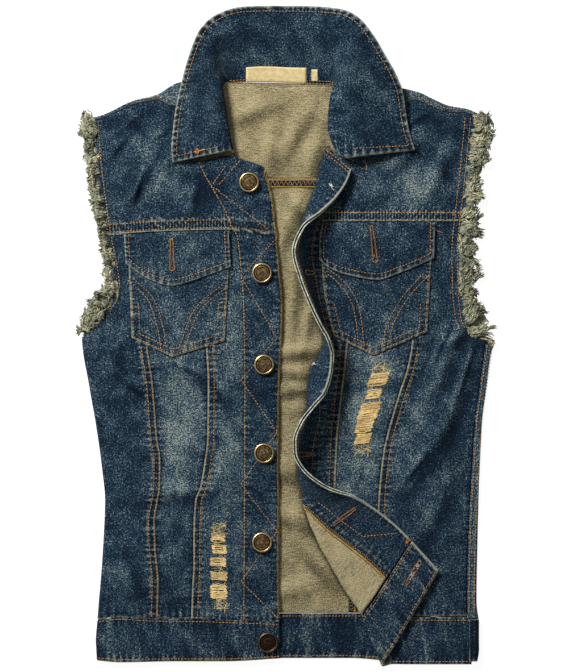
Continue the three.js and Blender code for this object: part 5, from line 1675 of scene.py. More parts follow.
BACK_FOLDS = (
    (10, 318, 4, 40, 7, 1.6), (16, 296, -6, 36, 6, 1.3), (8, 280, 8, 40, 7, 1.5), (20, 262, -3, 34, 8, 1.0),
    (8, 380, 86, 50, 6, 1.5), (22, 350, 78, 36, 6, 1.2), (0, 440, 70, 30, 8, 1.2),
    (14, 460, -40, 24, 8, 1.0), (-16, 520, 80, 34, 9, 1.3), (10, 540, 60, 30, 9, 1.4),
    (28, 520, 74, 30, 8, 1.2), (-36, 560, 20, 24, 9, 1.2), (4, 200, 4, 34, 10, 0.8),
    (10, 150, -20, 30, 9, 0.9), (28, 108, -50, 34, 9, 1.2), (6, 80, 12, 24, 8, 0.8))


def back_height(x, y):
    """Height of the back's middle: it is smooth but for folds where no front lies on it."""
    bare = smooth((x + 60) / 30) * smooth((70 - x) / 30)
    return BACK_MID + bare * (2.0 * crease_height(x, y, BACK_FOLDS) + 0.5 + 0.5 * noise(x / 14, y / 14, 81))


def back_tone_and_shade(x, y):
    """The wrong side's tone, with painted light and shade: a painted highlight on its folds, painted shade in
    the hollows below them and a painted shadow beside the turned front's fold.
    """
    # These hollows are only painted: shade below each fold, where the back's height has no hollow.
    hollows = crease_height(x, y, [(cx, cy - 1.2 * w, a, h, 0.7 * w, t) for cx, cy, a, h, w, t in BACK_FOLDS])
    ridges = crease_height(x, y, BACK_FOLDS)
    # Painted shadow on the back beside the turned front's fold.
    fold = turned_columns[1](y) - x
    near = (y > 56) * (y < 520) * (fold > -3)
    shade = near * (0.8 * np.exp(-(fold / 2.2) ** 2) + 0.2 * np.exp(-(fold / 8) ** 2))
    mottle = 0.1 * noise(x / 20, y / 20, 82) + 0.07 * noise(x / 7, y / 5, 83)
    return 0.52 + mottle + 0.1 * ridges - 0.32 * hollows - shade


def back_shell(name, grid, node):
    """A panel of the back from the grid of its middle, khaki above and denim below."""
    facing = grid_normals(grid)
    over = grid + facing * CLOTH / 2
    under = grid - facing * CLOTH / 2
    under[..., 2] = np.maximum(under[..., 2], 0.02)
    weave = cloth_places(grid)
    sides = [material("khaki"), material("denim"), material("khaki")]
    piece = shell(name, over, under, weave, sides, back_tone_and_shade(grid[..., 0], grid[..., 1]))
    finish_piece(piece, "wrong_side", node)
    declare_sheet(weave)


def build_allowances():
    """The dark edges of the back's seams, which stand a little proud of its wrong side."""
    x, y = np.meshgrid(np.linspace(-82, 82, 60), np.linspace(480.6, 486.4, 4))
    strips = [("back_yoke_allowance", x, y, 0.12)]
    for side, sign in (("right", -1), ("left", 1)):
        y, across = np.meshgrid(np.linspace(55, 480, 120), np.linspace(-0.6, 6.4, 4), indexing="ij")
        strips.append((f"back_{side}_allowance", (sign * (back_seam(y) + across))[:, ::sign], y, 0.2))
    for name, x, y, fade_and_shade in strips:
        over = np.stack([x, y, back_height(x, y) + 1.05], -1)
        under = over - [0, 0, 0.35]
        strip = shell(name, over, under, np.stack([x, y], -1), cloth_sides("denim", "denim"), fade_and_shade)
        finish_piece(strip, "dark_denim")
    return [name for name, *_ in strips]


def build_back_centre(allowances):
    """The back's centre panel. allowances, the names of the seam allowances that lie on it, is not used."""
    x, y = panel_grid(lambda h: -back_seam(h), back_seam, back_waist_seam, back_yoke_seam, 3.4, (PLAIN,) * 4)
    back_shell("back_centre_panel", np.stack([x, y, back_height(x, y)], -1), "back_centre")


def build_back_sides():
    """The back's side panels; the left one comes round the side and forward to the side seam."""
    y = np.linspace(BACK_WAIST + EDGE_GAP, BACK_YOKE - EDGE_GAP, 124)
    lip_edge = right_outline(y) + FOLD_RADIUS + CLOTH / 2 + FOLD_LIP + 0.6
    outer = np.where(y < RIGHT_ARMPIT, lip_edge, right_outline(y))[:, None]
    x = mix(outer, -back_seam(y)[:, None] - EDGE_GAP, np.linspace(0, 1, 34))
    grid = np.stack([x, y[:, None] + 0 * x, BACK_MID + 0 * x], -1)
    back_shell("back_right_side", grid, "back_side_right")
    y = np.linspace(BACK_WAIST + EDGE_GAP, BACK_YOKE - EDGE_GAP, 176)[:, None]
    inner, outline, end = back_seam(y) + EDGE_GAP, left_outline(y), left_side_seam(y) + EDGE_GAP
    centre = outline - FOLD_RADIUS - CLOTH / 2
    angle = np.linspace(0, math.pi, 9)[1:]
    folded = np.concatenate([mix(inner, centre, np.linspace(0, 1, 30)), centre + FOLD_RADIUS * np.sin(angle),
                             mix(centre, end, np.linspace(0, 1, 7)[1:])], 1)
    z = np.concatenate([np.full(30, BACK_MID), BACK_MID + FOLD_RADIUS - FOLD_RADIUS * np.cos(angle),
                        np.full(6, FRONT_MID)])
    flat = mix(inner, outline, np.linspace(0, 1, folded.shape[1]))
    below = y < LEFT_ARMPIT
    x = np.where(below, folded, flat)
    dip = 6 * (1 - smooth((y - BACK_WAIST) / 40)) * smooth((x - 100) / 80)
    grid = np.stack([x, y - dip, np.where(below, z, BACK_MID)], -1)
    back_shell("back_left_side", grid, "back_side_left")


def build_back_yoke():
    """The back yoke, flat up to the neck and wrapped forward over both shoulders."""
    r = FOLD_RADIUS
    columns = np.concatenate([np.linspace(-198, -82, 44), [-80, -78, -76], np.linspace(-72, 50, 34),
                              [52, 54, 56, 58], np.linspace(61, 188, 46)])
    top, lip = back_top(columns), shoulder_lip(columns) - EDGE_GAP
    wraps = lip > 2
    turn = top - r - CLOTH / 2
    top = np.where(wraps, top, top + 1.8)
    flat_y = mix(BACK_YOKE + EDGE_GAP, np.where(wraps, turn, top - 4), np.linspace(0, 1, 30)[:, None])
    level = np.where(columns < 0, np.maximum(columns, right_outline(flat_y)),
                     np.minimum(columns, left_outline(flat_y)))
    angle = np.linspace(0, math.pi, 8)[1:, None]
    last = top - np.maximum(lip, r + CLOTH / 2 + 0.6)
    laps = np.linspace(0, 1, 9)[1:, None]
    arc_y = np.where(wraps, turn + r * np.sin(angle), top - 4 + 2 * angle / math.pi)
    arc_z = np.where(wraps, BACK_MID + r - r * np.cos(angle), BACK_MID)
    lap_y = np.where(wraps, mix(turn, last, laps), top - 2 + 2 * laps)
    lap_z = np.where(wraps, FRONT_MID + 0 * laps, BACK_MID)
    y = np.concatenate([flat_y, arc_y, lap_y])
    z = np.concatenate([back_height(level, flat_y), arc_z, lap_z])
    x = np.concatenate([level, np.broadcast_to(level[-1], (len(y) - len(level), len(columns)))])
    back_shell("back_yoke_piece", np.stack([x, y, z], -1), "back_yoke")


# Shank buttons

BUTTON_PROFILE = (
    (0, 0, 0.2), (4, 0, 0.2), (4, 1.0, 0.1), (8.8, 1.4, 0.3), (9.7, 2.0, 0.55), (10, 2.8, 0.8),
    (9.8, 3.6, 1.0), (9.3, 4.05, 1.1), (8.7, 4.2, 1.0), (8.2, 3.95, 0.5), (7.9, 3.5, 0.0), (7.6, 3.4, 0.0),
    (7.2, 3.55, 0.3), (6.4, 3.7, 0.66), (5.6, 3.6, 0.3), (4.4, 3.8, 0.62), (2.0, 3.7, 0.5), (0, 3.9, 0.7))
BUTTON_SIDES = 48


def build_button(number):
    """A turned button with a rolled rim round a slightly domed centre."""
    node = f"button_{number}"
    low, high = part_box(node)
    centre = [(a + b) / 2 for a, b in zip(low, high)]
    profile = np.array(BUTTON_PROFILE)
    turn = np.linspace(0, 2 * math.pi, BUTTON_SIDES, endpoint=False)
    rings = profile[1:-1]
    x = rings[:, :1] * np.cos(turn)
    y = rings[:, :1] * np.sin(turn)
    z = np.broadcast_to(rings[:, 1:2], x.shape)
    points = np.concatenate([np.stack([x, y, z], -1).reshape(-1, 3), [[0, 0, 0], [0, 0, profile[-1, 1]]]])
    at = np.arange(len(rings) * BUTTON_SIDES).reshape(len(rings), BUTTON_SIDES)
    nxt = np.roll(at, -1, axis=1)
    quads = np.stack([at[:-1], nxt[:-1], nxt[1:], at[1:]], -1).reshape(-1, 4).tolist()
    foot, crown = len(points) - 2, len(points) - 1
    fans = [(foot, b, a) for a, b in zip(at[0], nxt[0])] + [(crown, a, b) for a, b in zip(at[-1], nxt[-1])]
    mesh = bpy.data.meshes.new(node + "_cap")
    place = np.array([centre[0], centre[1], low[2]])
    mesh.from_pydata((points * MM + place).tolist(), [], quads + [tuple(map(int, f)) for f in fans])
    mesh.polygons.foreach_set("use_smooth", [True] * len(mesh.polygons))
    set_field(mesh, "worn", np.concatenate([np.repeat(rings[:, 2], BUTTON_SIDES), profile[[0, -1], 2]]))
    finish = "bronze" if number == 6 else "brass"
    finish_piece(add_piece(node + "_cap", mesh, [material(finish)]), finish, node)


# Frayed armholes

right_reach = through(
    (331, 9), (340, 12), (348, 19), (364, 18), (380, 14), (395, 10), (411, 7), (442, 7), (458, 9),
    (489, 11), (505, 10), (520, 13), (536, 15), (548, 14))
left_reach = through(
    (328, 10), (334, 16), (341, 22), (352, 22), (380, 18), (397, 19), (419, 15), (434, 19), (458, 12),
    (478, 16), (497, 14), (512, 18), (526, 20), (539, 23), (552, 16))
FRINGE_SIDES = {
    "right": (-1, right_outline, right_reach, 336, 550),
    "left": (1, left_outline, left_reach, 332, 553)}
TUFTS = 70               # along each layer of an armhole
STRANDS = 14             # in a tuft
STRAND_POINTS = 12
GOLD_EVERY = 67          # one strand in this many has a gold yarn beside it


def armhole_edge(side):
    """Points (x, y) at 1 mm steps along a raw armhole, and there the outward direction, how far the
    fringe reaches and the direction of the edge."""
    sign, outline, reach, low, high = FRINGE_SIDES[side]
    y = np.linspace(low, high, 400)
    points = np.stack([outline(y), y], -1)
    run = distances(points)
    want = np.arange(0, run[-1], 1.0)
    points = np.stack([np.interp(want, run, points[:, k]) for k in (0, 1)], -1)
    along = unit(np.gradient(points, axis=0))
    out = np.stack([along[:, 1], -along[:, 0]], -1) * sign
    out = unit(out + np.array([sign * 0.4, 0.0]))
    return points, out, reach(points[:, 1]), along


def build_fringe(side, layer, node, seed):
    """Curly tufts of loose yarns along one layer of a raw armhole."""
    rng = np.random.default_rng(seed)
    points, out, reach, along = armhole_edge(side)
    base_z = FRONT_MID if layer == "front" else BACK_MID
    lines = []
    for tuft in range(TUFTS):
        at = (tuft + rng.uniform(0.1, 0.9)) / TUFTS * (len(points) - 1)
        i = int(at)
        bend = rng.normal(0, 0.5)
        size = rng.uniform(0.5, 0.98)
        inset = rng.uniform(0.5, 6.5) if layer == "front" else 1.0
        curl = rng.uniform(0, 2 * math.pi)
        sweep = rng.choice([-1, 1]) * rng.uniform(0.4, 2.6)
        pitch, crimp = rng.uniform(6.0, 9.0), rng.uniform(0.4, 0.9)
        top = rng.uniform(2.0, 4.6) if layer == "front" else rng.uniform(0.3, 1.6)
        for _ in range(STRANDS):
            j = int(np.clip(i + rng.normal(0, 1.5), 0, len(points) - 1))
            t = np.linspace(0, 1, STRAND_POINTS)
            heading = bend - sweep * 0.25 + sweep * t + rng.normal(0, 0.1)
            way = np.outer(np.cos(heading), out[j]) + np.outer(np.sin(heading), along[j])
            far = 1.3 * reach[j] * size * rng.uniform(0.75, 1.0) + inset * 0.9
            turn = t * far * 2 * math.pi / pitch + curl + rng.normal(0, 0.35)
            root = points[j] - out[j] * (inset + rng.uniform(0, 2.0))
            flat = root + np.cumsum(way, axis=0) * far / STRAND_POINTS
            flat = flat + np.outer(crimp * np.sin(turn), along[j])
            flat = flat + rng.normal(0, 0.1, flat.shape)
            rise = top * rng.uniform(0.6, 1.1) * np.sin(np.clip(t * 1.25, 0, 1) * math.pi * 0.66)
            z = base_z + 0.5 + rise + 0.9 * np.cos(turn) * np.minimum(t * 4, 1)
            lines.append({"points": np.column_stack([flat, np.maximum(z, 0.35)]),
                          "thickness": np.interp(t, [0, 0.9, 1], [1.25, 1.2, 0.8]) * rng.uniform(0.8, 1.2)})
    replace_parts(spin(f"{side}_armhole_{layer}_yarns", lines, "fray", "fringe", 3), node)
    if layer == "front":
        golden = [{"points": line["points"] + [0, 0, 0.6], "thickness": 1.1} for line in lines[::GOLD_EVERY]]
        spin(f"{side}_armhole_gold_yarns", golden, "fray", "gold yarn", 3)


# Rows of stitches, overlocked edges and buttonholes

def on_face(face, places, lift=0.1):
    """A row over a surface that lies flat, from its places (x, y)."""
    x, y = np.asarray(places, float).T
    facing = normals_of(face, x, y, 0.6, 0.6)
    return face(x, y) + facing * lift, facing


def up_seam(curve, low, high, shift=0.0):
    """Places (x, y) beside a seam whose x is given for each height."""
    y = runs(low, high)
    return np.stack([curve(y) + shift, y], -1)


def across_seam(curve, low, high, shift=0.0):
    """Places (x, y) beside a seam whose y is given for each x."""
    x = runs(low, high)
    return np.stack([x, curve(x) + shift], -1)


def along_turned(d, y, side, lift):
    """A row on the turned front, on its outer face for side 1 and on its inner face for side -1."""
    d, y = together(d, y)
    facing = normals_of(turned_at, d, y, *TURNED_STEP) * side
    return turned_at(d, y) + facing * np.asarray(lift)[..., None], facing


def on_collar(along, share, lift):
    """A row over the collar's outer face."""
    along, share = together(along, share)
    facing = normals_of(collar_face, along, share, *COLLAR_STEP)
    return collar_face(along, share) + facing * lift, facing


def along_grid(grid, rows, cols, thickness, side=1.0):
    """A row on one side of a piece made from the grid of its middle."""
    rows, cols = together(rows, cols)
    facing = unit(bilinear(grid_normals(grid), rows, cols)) * side
    return bilinear(grid, rows, cols) + facing * (thickness / 2 + 0.1), facing


def zigzag(row, width, pitch, thickness=0.45, lift=0.25):
    """A thread that runs to and fro across a row."""
    points, facing = row
    run = distances(points)
    want = np.arange(0, run[-1], pitch / 2)
    p = np.stack([np.interp(want, run, points[:, k]) for k in range(3)], -1)
    f = unit(np.stack([np.interp(want, run, facing[:, k]) for k in range(3)], -1))
    over = unit(np.cross(f, np.gradient(p, axis=0)))
    sway = np.where(np.arange(len(want)) % 2, 0.5, -0.5) * width
    sway = sway * (1 + 0.12 * noise(want / pitch, 0.5, 3))
    return {"points": p + over * sway[:, None] + f * lift, "thickness": thickness}


def buttonhole(start, end, eye=2.1, half=1.0):
    """The rim of a keyhole buttonhole from its narrow start to its eye at end, as places (x, y)."""
    start, end = np.array(start, float), np.array(end, float)
    length = np.linalg.norm(end - start)
    way = (end - start) / length
    side = np.array([-way[1], way[0]])
    turn = np.linspace(math.pi * 0.82, -math.pi * 0.82, 15) if eye else np.linspace(1.5, -1.5, 5)
    reach = eye or half
    ring = np.stack([length + reach * np.cos(turn), reach * np.sin(turn)], -1)
    shares = np.linspace(0, 0.86, 12)
    wall = np.stack([length * shares, mix(0.55, 1.2, shares) * half], -1)
    local = np.concatenate([wall, ring, wall[::-1] * (1, -1), wall[:1]])
    return start + local[:, :1] * way + local[:, 1:] * side


ZIGZAG = (
    (-12, 429), (-48, 390.5), (-12, 329), (-48, 287), (-12, 235), (-48, 183), (-12, 136), (-48, 86),
    (-12, 50))


def right_rows():
    """Rows of stitches on the right front, in the order in which they are sewn."""
    flat = [up_seam(seam, 52, top, sign * shift) for shift in BAND_ROWS
            for seam, top, sign in ((right_outer_seam, 319, -1), (right_inner_seam, 318, 1))]
    flat += [across_seam(right_yoke_seam, -184, -60, shift) for shift in (2.4, 10)]
    flat += [up_seam(right_outline, 338, 545, 8), across_seam(shoulder_seam, -170, -122, 4)]
    raised = [up_seam(right_placket_seam, 50, 500, 1.2), across_seam(right_yoke_seam, -56, -14, 3),
              line_through(*ZIGZAG), line_through((-64, 500), (-77, 481), (-22, 438)),
              line_through((-50, 505), (-69, 483))]
    lifted = DOUBLE - CLOTH + PLACKET_LIFT + 0.1
    return [on_face(right_face, places) for places in flat] + [
        on_face(right_face, places, lifted) for places in raised]


def left_rows():
    """The same for the left front."""
    rows = []
    y = runs(54, 322)
    for shift in BAND_ROWS:
        inner = along_to(y, left_inner_seam(y)) - 0.3 - shift
        rows.append(along_turned(inner, y, 1, CLOTH / 2 + BAND_HEIGHT))
        rows.append(on_face(left_face, up_seam(left_outer_seam, 53, 318, shift)))
        rows.append(on_face(left_face, up_seam(left_side_seam, 56, 320, shift + 0.4)))
    for shift in (1.6, 8.6):
        rows.append(on_face(left_face, across_seam(left_yoke_seam, 34, 172, shift)))
    for shift in (-6.5, -12):
        rows.append(on_face(left_face, up_seam(left_outline, 340, 548, shift)))
    rows.append(on_face(left_face, across_seam(shoulder_seam, 130, 172, 4)))
    for y in (515.5, 511.5):
        rows.append(along_turned(runs(3, 36), y, 1, 1.6))
        rows.append(along_turned(runs(3, 40), y, -1, 1.5))
    y = runs(53, 515)
    for d in (3.4, 7.4, 35.4):
        rows.append(along_turned(d, y, 1, ply_gap(d) + 0.75))
    path, spots = ((30, 160), (30, 98), (6, 70)), []
    for (d0, y0), (d1, y1) in zip(path, path[1:]):
        t = np.linspace(0, 1, 40)[:-1]
        spots.append(np.stack([mix(d0, d1, t), mix(y0, y1, t)], -1))
    spots = np.concatenate(spots)
    rows.append(along_turned(spots[:, 0], spots[:, 1], -1, ply_gap(20) + 0.65))
    return rows


def patch_row(patch, top, side, up):
    """A row down one side of a pocket or flap, along its bottom and up the other side."""
    left, right, bottom, _ = patch.limits
    start = left(bottom(left(400.0)))
    end = right(bottom(right(400.0)))
    x = runs(float(start) + side, float(end) - side)
    low = np.stack([x, bottom(x) + up], -1)
    rise = [np.stack([edge(y) + shift, y], -1) for edge, shift, y in (
        (left, side, runs(top, low[0, 1])), (right, -side, runs(low[-1, 1], top)))]
    return on_face(patch.face, np.concatenate([rise[0], low, rise[1]]))


def pocket_rows(patch, top, curves):
    """A pocket's rows: two round its edge and the ornamental ones."""
    rows = [patch_row(patch, top, 2.1, 2.1), patch_row(patch, 362, 8.2, 7.8)]
    return rows + [on_face(patch.face, arc_through(*curve)) for curve in curves]


def twin(curve, shift):
    """A curve and its copy beside it."""
    return [curve, [(x + shift * 0.96, y + abs(shift) * 0.3) for x, y in curve]]


POCKET_CURVES = {
    "right": twin([(-160, 386), (-141, 367), (-131, 338), (-128, 319)], 5.5)
    + twin([(-62, 380), (-88, 357), (-105, 317)], -5.5),
    "left": twin([(34, 396), (49, 384.3), (63, 363), (70, 320)], 5.5)
    + twin([(139, 391), (119, 369), (105, 344.5), (98, 320)], -5.5)}


def collar_row(inset):
    """Places (along, share) at one distance inside the collar's outer edge and its front ends."""
    fine = np.linspace(0, 1, 400)
    reach = np.interp(fine, collar_steps, collar_lengths)
    place = collar_edges(fine, 0.5)[2]
    keep = (place > inset) & (place < place[-1] - inset)
    along, share = fine[keep], 1 - inset / reach[keep]
    ends = np.linspace(0.3, share[0], 30)
    return (np.concatenate([np.full(30, along[0]), along, np.full(30, along[-1])]),
            np.concatenate([ends, share, np.linspace(share[-1], 0.3, 30)]))


COLLAR_INSET = 5.6       # of its row of stitches from its edge


def sew_everything():
    """Every row of copper stitches."""
    sew("right_front_stitches", right_rows(), "denim")
    sew("left_front_stitches", left_rows(), "denim")
    rows = pocket_rows(right_pocket, 384, POCKET_CURVES["right"])
    rows += pocket_rows(left_pocket, 390, POCKET_CURVES["left"])
    rows += [patch_row(right_flap, 434, 4.4, 6.0), patch_row(left_flap, 443, 4.4, 6.0)]
    sew("pocket_stitches", rows, "denim")
    neck = np.linspace(0.27, 0.78, 160)
    sew("collar_stitches", [on_collar(*collar_row(COLLAR_INSET), 0.1), on_collar(neck, 0.035, 0.1),
                            on_collar(neck, 0.004, 0.2)], "collar")
    rows = []
    for name, sides in (("back", (1,)), ("right", (1,)), ("left", (1, -1))):
        grid = band_grids[name]
        for row in (1.4, BAND_ROWS_COUNT - 2.4):
            cols = runs(1, grid.shape[1] - 2, 0.5)
            rows += [along_grid(grid, row, cols, DOUBLE, side) for side in sides]
    sew("waistband_stitches", rows, "dark_denim")


def overlock_everything():
    """Gold thread over the facing's edge, the back's seam allowances and the right front's edge."""
    y = runs(53, 512)
    gold = [zigzag(along_turned(FACING_WIDTH + 0.2, y, -1, 1.7), 1.0, 1.0, 1.3),
            zigzag(along_turned(FACING_WIDTH - 1.8, y, -1, 1.85), 3.2, 2.2, 0.6)]
    x = runs(-80, 80)
    seam = np.stack([x, 484 + 0 * x, back_height(x, 484 + 0 * x) + 1.1], -1)
    up = np.broadcast_to([0.0, 0.0, 1.0], seam.shape)
    gold.append(zigzag((seam, up), 4.6, 4.4, 1.0))
    gold.append(zigzag((seam + [0, 3.4, 0.3], up), 2.2, 1.5, 1.2))
    gold.append(zigzag((seam + [0, -3.8, 0.2], up), 1.2, 1.5, 1.1))
    y = runs(56, 480)
    up = np.broadcast_to([0.0, 0.0, 1.0], (len(y), 3))
    for sign in (-1, 1):
        x = sign * (back_seam(y) + 2.9)
        line = np.stack([x, y, back_height(x, y) + 1.1], -1)
        gold.append(zigzag((line, up), 6.0, 3.4, 1.0))
        gold.append(zigzag((line + [sign * 3.0, 0, 0.1], up), 1.6, 1.4, 1.2))
    edge = on_face(right_face, up_seam(right_front_edge, 50, 497, -0.5), DOUBLE - CLOTH + 0.4)
    gold.append(zigzag(edge, 2.4, 1.4, 0.55))
    spin("overlock_threads", gold, "wrong_side", "gold thread", 3)


KNOT_SHARE = 0.6         # across the collar, where its row of stitches ends in a knot
BAND_MIDDLE = 0.52 * BAND_ROWS_COUNT
FLAP_HOLES = ((right_flap, (-117, 428), (-116.6, 399)), (left_flap, (82.4, 441), (86.2, 407)))
PLACKET_HOLES = (
    ((34, 302), (18, 302), (1,)), ((34, 213), (18, 213), (1, -1)), ((34, 394), (18, 394), (1, -1)),
    ((38.5, 130), (13, 130), (1, -1)), ((34, 484), (18, 484), (1,)))
THREAD_TAILS = (
    ((74, 506), (79, 497), 1.0), ((146, 439), (153, 433), -1.2), ((76, 539), (62, 518), 0.6),
    ((138, 446), (146, 440), 0.8))


def buttonholes():
    """Worked buttonholes of the flaps, the left placket and its waistband."""
    holes = []
    for patch, start, end in FLAP_HOLES:
        holes.append(zigzag(on_face(patch.face, buttonhole(start, end, 2.7, 1.9)), 1.0, 0.9, 0.6, 0.4))
    spin("flap_buttonholes", holes, "denim", "orange thread", 4)
    holes = []
    for start, end, sides in PLACKET_HOLES:
        places = buttonhole(start, end, 2.2, 2.2)
        for side in sides:
            lift = ply_gap(20) + (0.75 if side > 0 else 0.65)
            holes.append(zigzag(along_turned(places[:, 0], places[:, 1], side, lift), 0.7, 1.1, 0.5, 0.3))
    for y in (53.5, 55.0):
        holes.append(zigzag(along_turned(runs(-0.5, 6, 0.5), y, -1, ply_gap(4) + 0.9), 2.0, 0.8, 0.8, 0.3))
    places = buttonhole((38, BAND_MIDDLE), (11, BAND_MIDDLE), 2.4, 2.2)
    rows = (places[:, 1] - BAND_MIDDLE) / 1.95 + BAND_MIDDLE
    row = along_grid(band_grids["left"], rows, places[:, 0] / 1.85, DOUBLE, -1)
    holes.append(zigzag(row, 0.8, 1.0, 0.5, 0.3))
    spin("placket_buttonholes", holes, "dark_denim", "orange thread", 4)


def loose_white_threads():
    """Frayed ends in the buttonholes of the turned placket and waistband."""
    rng = np.random.default_rng(8)
    whites = []
    for _ in range(16):
        spot = np.array([rng.uniform(6, 17), BAND_MIDDLE + rng.uniform(-0.5, 0.5)])
        reach = rng.normal(0, 1, (6, 2)).cumsum(axis=0) * (0.5, 0.25)
        rows, cols = spot[1] + reach[:, 1], spot[0] + reach[:, 0]
        points, facing = along_grid(band_grids["left"], rows, cols, DOUBLE, -1)
        whites.append({"points": points + facing * 0.6, "thickness": 0.55})
    for number in range(20):
        reach = rng.normal(0, 1, (6, 2)).cumsum(axis=0) * (0.9, 0.5)
        d, y = ((24, 302), (11, 486))[number % 2]
        points = along_turned(d + reach[:, 0], y + reach[:, 1], -1, ply_gap(20) + 1.2)[0]
        whites.append({"points": points, "thickness": 0.6})
    spin("loose_white_threads", whites, "dark_denim", "white thread", 4)


def loose_orange_threads():
    """Tails of thread on the left front, and the knot at the collar's front end."""
    tails = []
    for start, end, bow in THREAD_TAILS:
        t = np.linspace(0, 1, 8)[:, None]
        start, end = np.array(start, float), np.array(end, float)
        side = np.array([start[1] - end[1], end[0] - start[0]]) * 0.1
        places = mix(start, end, t) + side * bow * np.sin(t * math.pi * 1.5)
        tails.append({"points": on_face(left_face, places, 0.8)[0], "thickness": 0.6})
    end_row = collar_row(COLLAR_INSET)[0][0]
    turn = np.linspace(0, 4 * math.pi, 30)
    knot = on_collar(end_row + 0.007 * np.cos(turn), KNOT_SHARE + 0.022 * np.sin(turn), 0.9)
    bar = on_collar(end_row, KNOT_SHARE + np.linspace(-0.12, 0.05, 30), 0.5)
    tails += [{"points": knot[0], "thickness": 1.1}, {"points": bar[0], "thickness": 1.2}]
    spin("loose_orange_threads", tails, "denim", "orange thread", 4)


# Worn patches, where the indigo warp has gone and the gold weft lies bare

RIPS = {
    "right": (right_face, (-0.05, 0.0), (-76, -65, 134, 143), (-77, -63, 58, 69), (
        (-76.5, -65, 126, 134), (-76, -63.5, 114, 122), (-77, -64, 101.5, 109.5), (-77, -63, 88, 96),
        (-77, -63.5, 69, 82))),
    "left": (left_face, (0.12, 0.35), (83, 102, 293, 302), (66, 80, 214, 222), (
        (81, 97.5, 281, 293), (78.5, 90.5, 268, 276), (71, 89, 247, 263), (68, 83, 235, 245.5),
        (67.5, 80.5, 223, 233)))}
WEFT_PITCH = 0.72        # from one bare yarn to the next


def build_rip(side, seed):
    """Bare weft yarns across each gap of a worn patch, and loose ends above and below it."""
    rng = np.random.default_rng(seed)
    face, (lean, shear), above, below, gaps = RIPS[side]
    lines, frays = [], []
    for x0, x1, low, high in gaps:
        for y in np.arange(low, high, WEFT_PITCH):
            shift = shear * (y - (low + high) / 2)
            start, end = x0 + shift - rng.uniform(0, 2.0), x1 + shift + rng.uniform(0, 2.0)
            x = np.linspace(start, end, 9)
            sag = rng.normal(0, 0.5) * np.sin(np.linspace(0, math.pi, 9))
            places = np.stack([x, y + lean * (x - x0) + sag + rng.normal(0, 0.2, 9)], -1)
            points = on_face(face, places, 0.3)[0]
            points[:, 2] += rng.uniform(0, 0.6) * np.sin(np.linspace(0, math.pi, 9))
            lines.append({"points": points, "thickness": rng.uniform(0.6, 1.05)})
    strays = [(*area, 26) for area in (above, below)]
    strays += [(x0 + 1, x1 - 1, high - 1, high + 4, 6) for x0, x1, _, high in gaps]
    for x0, x1, low, high, count in strays:
        for number in range(count):
            x, y = rng.uniform(x0, x1), rng.uniform(low, high)
            turn, length = rng.normal(0, 0.5) + (0 if rng.random() < 0.6 else 1.5), rng.uniform(5, 12)
            t = np.linspace(-0.5, 0.5, 7)
            bow = rng.normal(0, 1.5) * (t ** 2 - 0.25)
            places = np.stack([x + length * t * math.cos(turn) - bow * math.sin(turn),
                               y + length * t * math.sin(turn) + bow * math.cos(turn)], -1)
            keep = lines if number % 3 == 0 else frays
            keep.append({"points": on_face(face, places, 0.35)[0], "thickness": rng.uniform(0.4, 0.7)})
    spin(f"{side}_bare_weft", lines, "faded_denim", "gold yarn", 4)
    spin(f"{side}_patch_frays", frays, "fray", "fringe", 4)


# Operators

class GARMENT_OT_right_front(bpy.types.Operator):
    """Panels, yoke and button placket of the right front"""
    bl_idname = "garment.right_front"
    bl_label = "Right front"

    def execute(self, context):
        right_panels()
        right_side_panel()
        return {"FINISHED"}


class GARMENT_OT_left_front(bpy.types.Operator):
    """Panels and yoke of the left front where they lie flat"""
    bl_idname = "garment.left_front"
    bl_label = "Left front"

    def execute(self, context):
        left_panels()
        return {"FINISHED"}


class GARMENT_OT_turned_placket(bpy.types.Operator):
    """The left front's placket, its facing and the panel beside it, which stand up and fall back"""
    bl_idname = "garment.turned_placket"
    bl_label = "Turned placket"

    def execute(self, context):
        build_left_placket()
        build_left_centre()
        return {"FINISHED"}


class GARMENT_OT_waistbands(bpy.types.Operator):
    """The back waistband and both front ones"""
    bl_idname = "garment.waistbands"
    bl_label = "Waistbands"

    def execute(self, context):
        build_back_waistband()
        build_right_waistband()
        build_left_waistband()
        return {"FINISHED"}


class GARMENT_OT_pockets(bpy.types.Operator):
    """Chest pockets and their pointed flaps"""
    bl_idname = "garment.pockets"
    bl_label = "Pockets and flaps"

    def execute(self, context):
        right_pocket.build("right_chest_pocket", "right_pocket", "denim", 0.33)
        left_pocket.build("left_chest_pocket", "left_pocket", "denim", 0.29)
        right_flap.build("right_flap", "right_pocket_flap", "dark_denim", 0.36)
        left_flap.build("left_flap", "left_pocket_flap", "dark_denim", 0.3)
        return {"FINISHED"}


class GARMENT_OT_collar(bpy.types.Operator):
    """The collar, with its neck label and size tab"""
    bl_idname = "garment.collar"
    bl_label = "Collar and label"

    def execute(self, context):
        build_collar()
        label, weave = build_label("label_tape", "neck_label", -43, 17.5, 0.0, 0.2, 0.6)
        tab = build_label("size_tape", "size_tab", 22.5, 28.5, 0.03, 0.18, 0.7)[0]
        declare_sheet(weave)
        return {"FINISHED"}


class GARMENT_OT_back(bpy.types.Operator):
    """The back's panels and yoke, wrong side up"""
    bl_idname = "garment.back"
    bl_label = "Back"

    def execute(self, context):
        build_back_centre(build_allowances())
        build_back_sides()
        build_back_yoke()
        return {"FINISHED"}


class GARMENT_OT_buttons(bpy.types.Operator):
    """Five brass buttons and a bronze one"""
    bl_idname = "garment.buttons"
    bl_label = "Buttons"

    def execute(self, context):
        for number in range(1, 7):
            build_button(number)
        return {"FINISHED"}


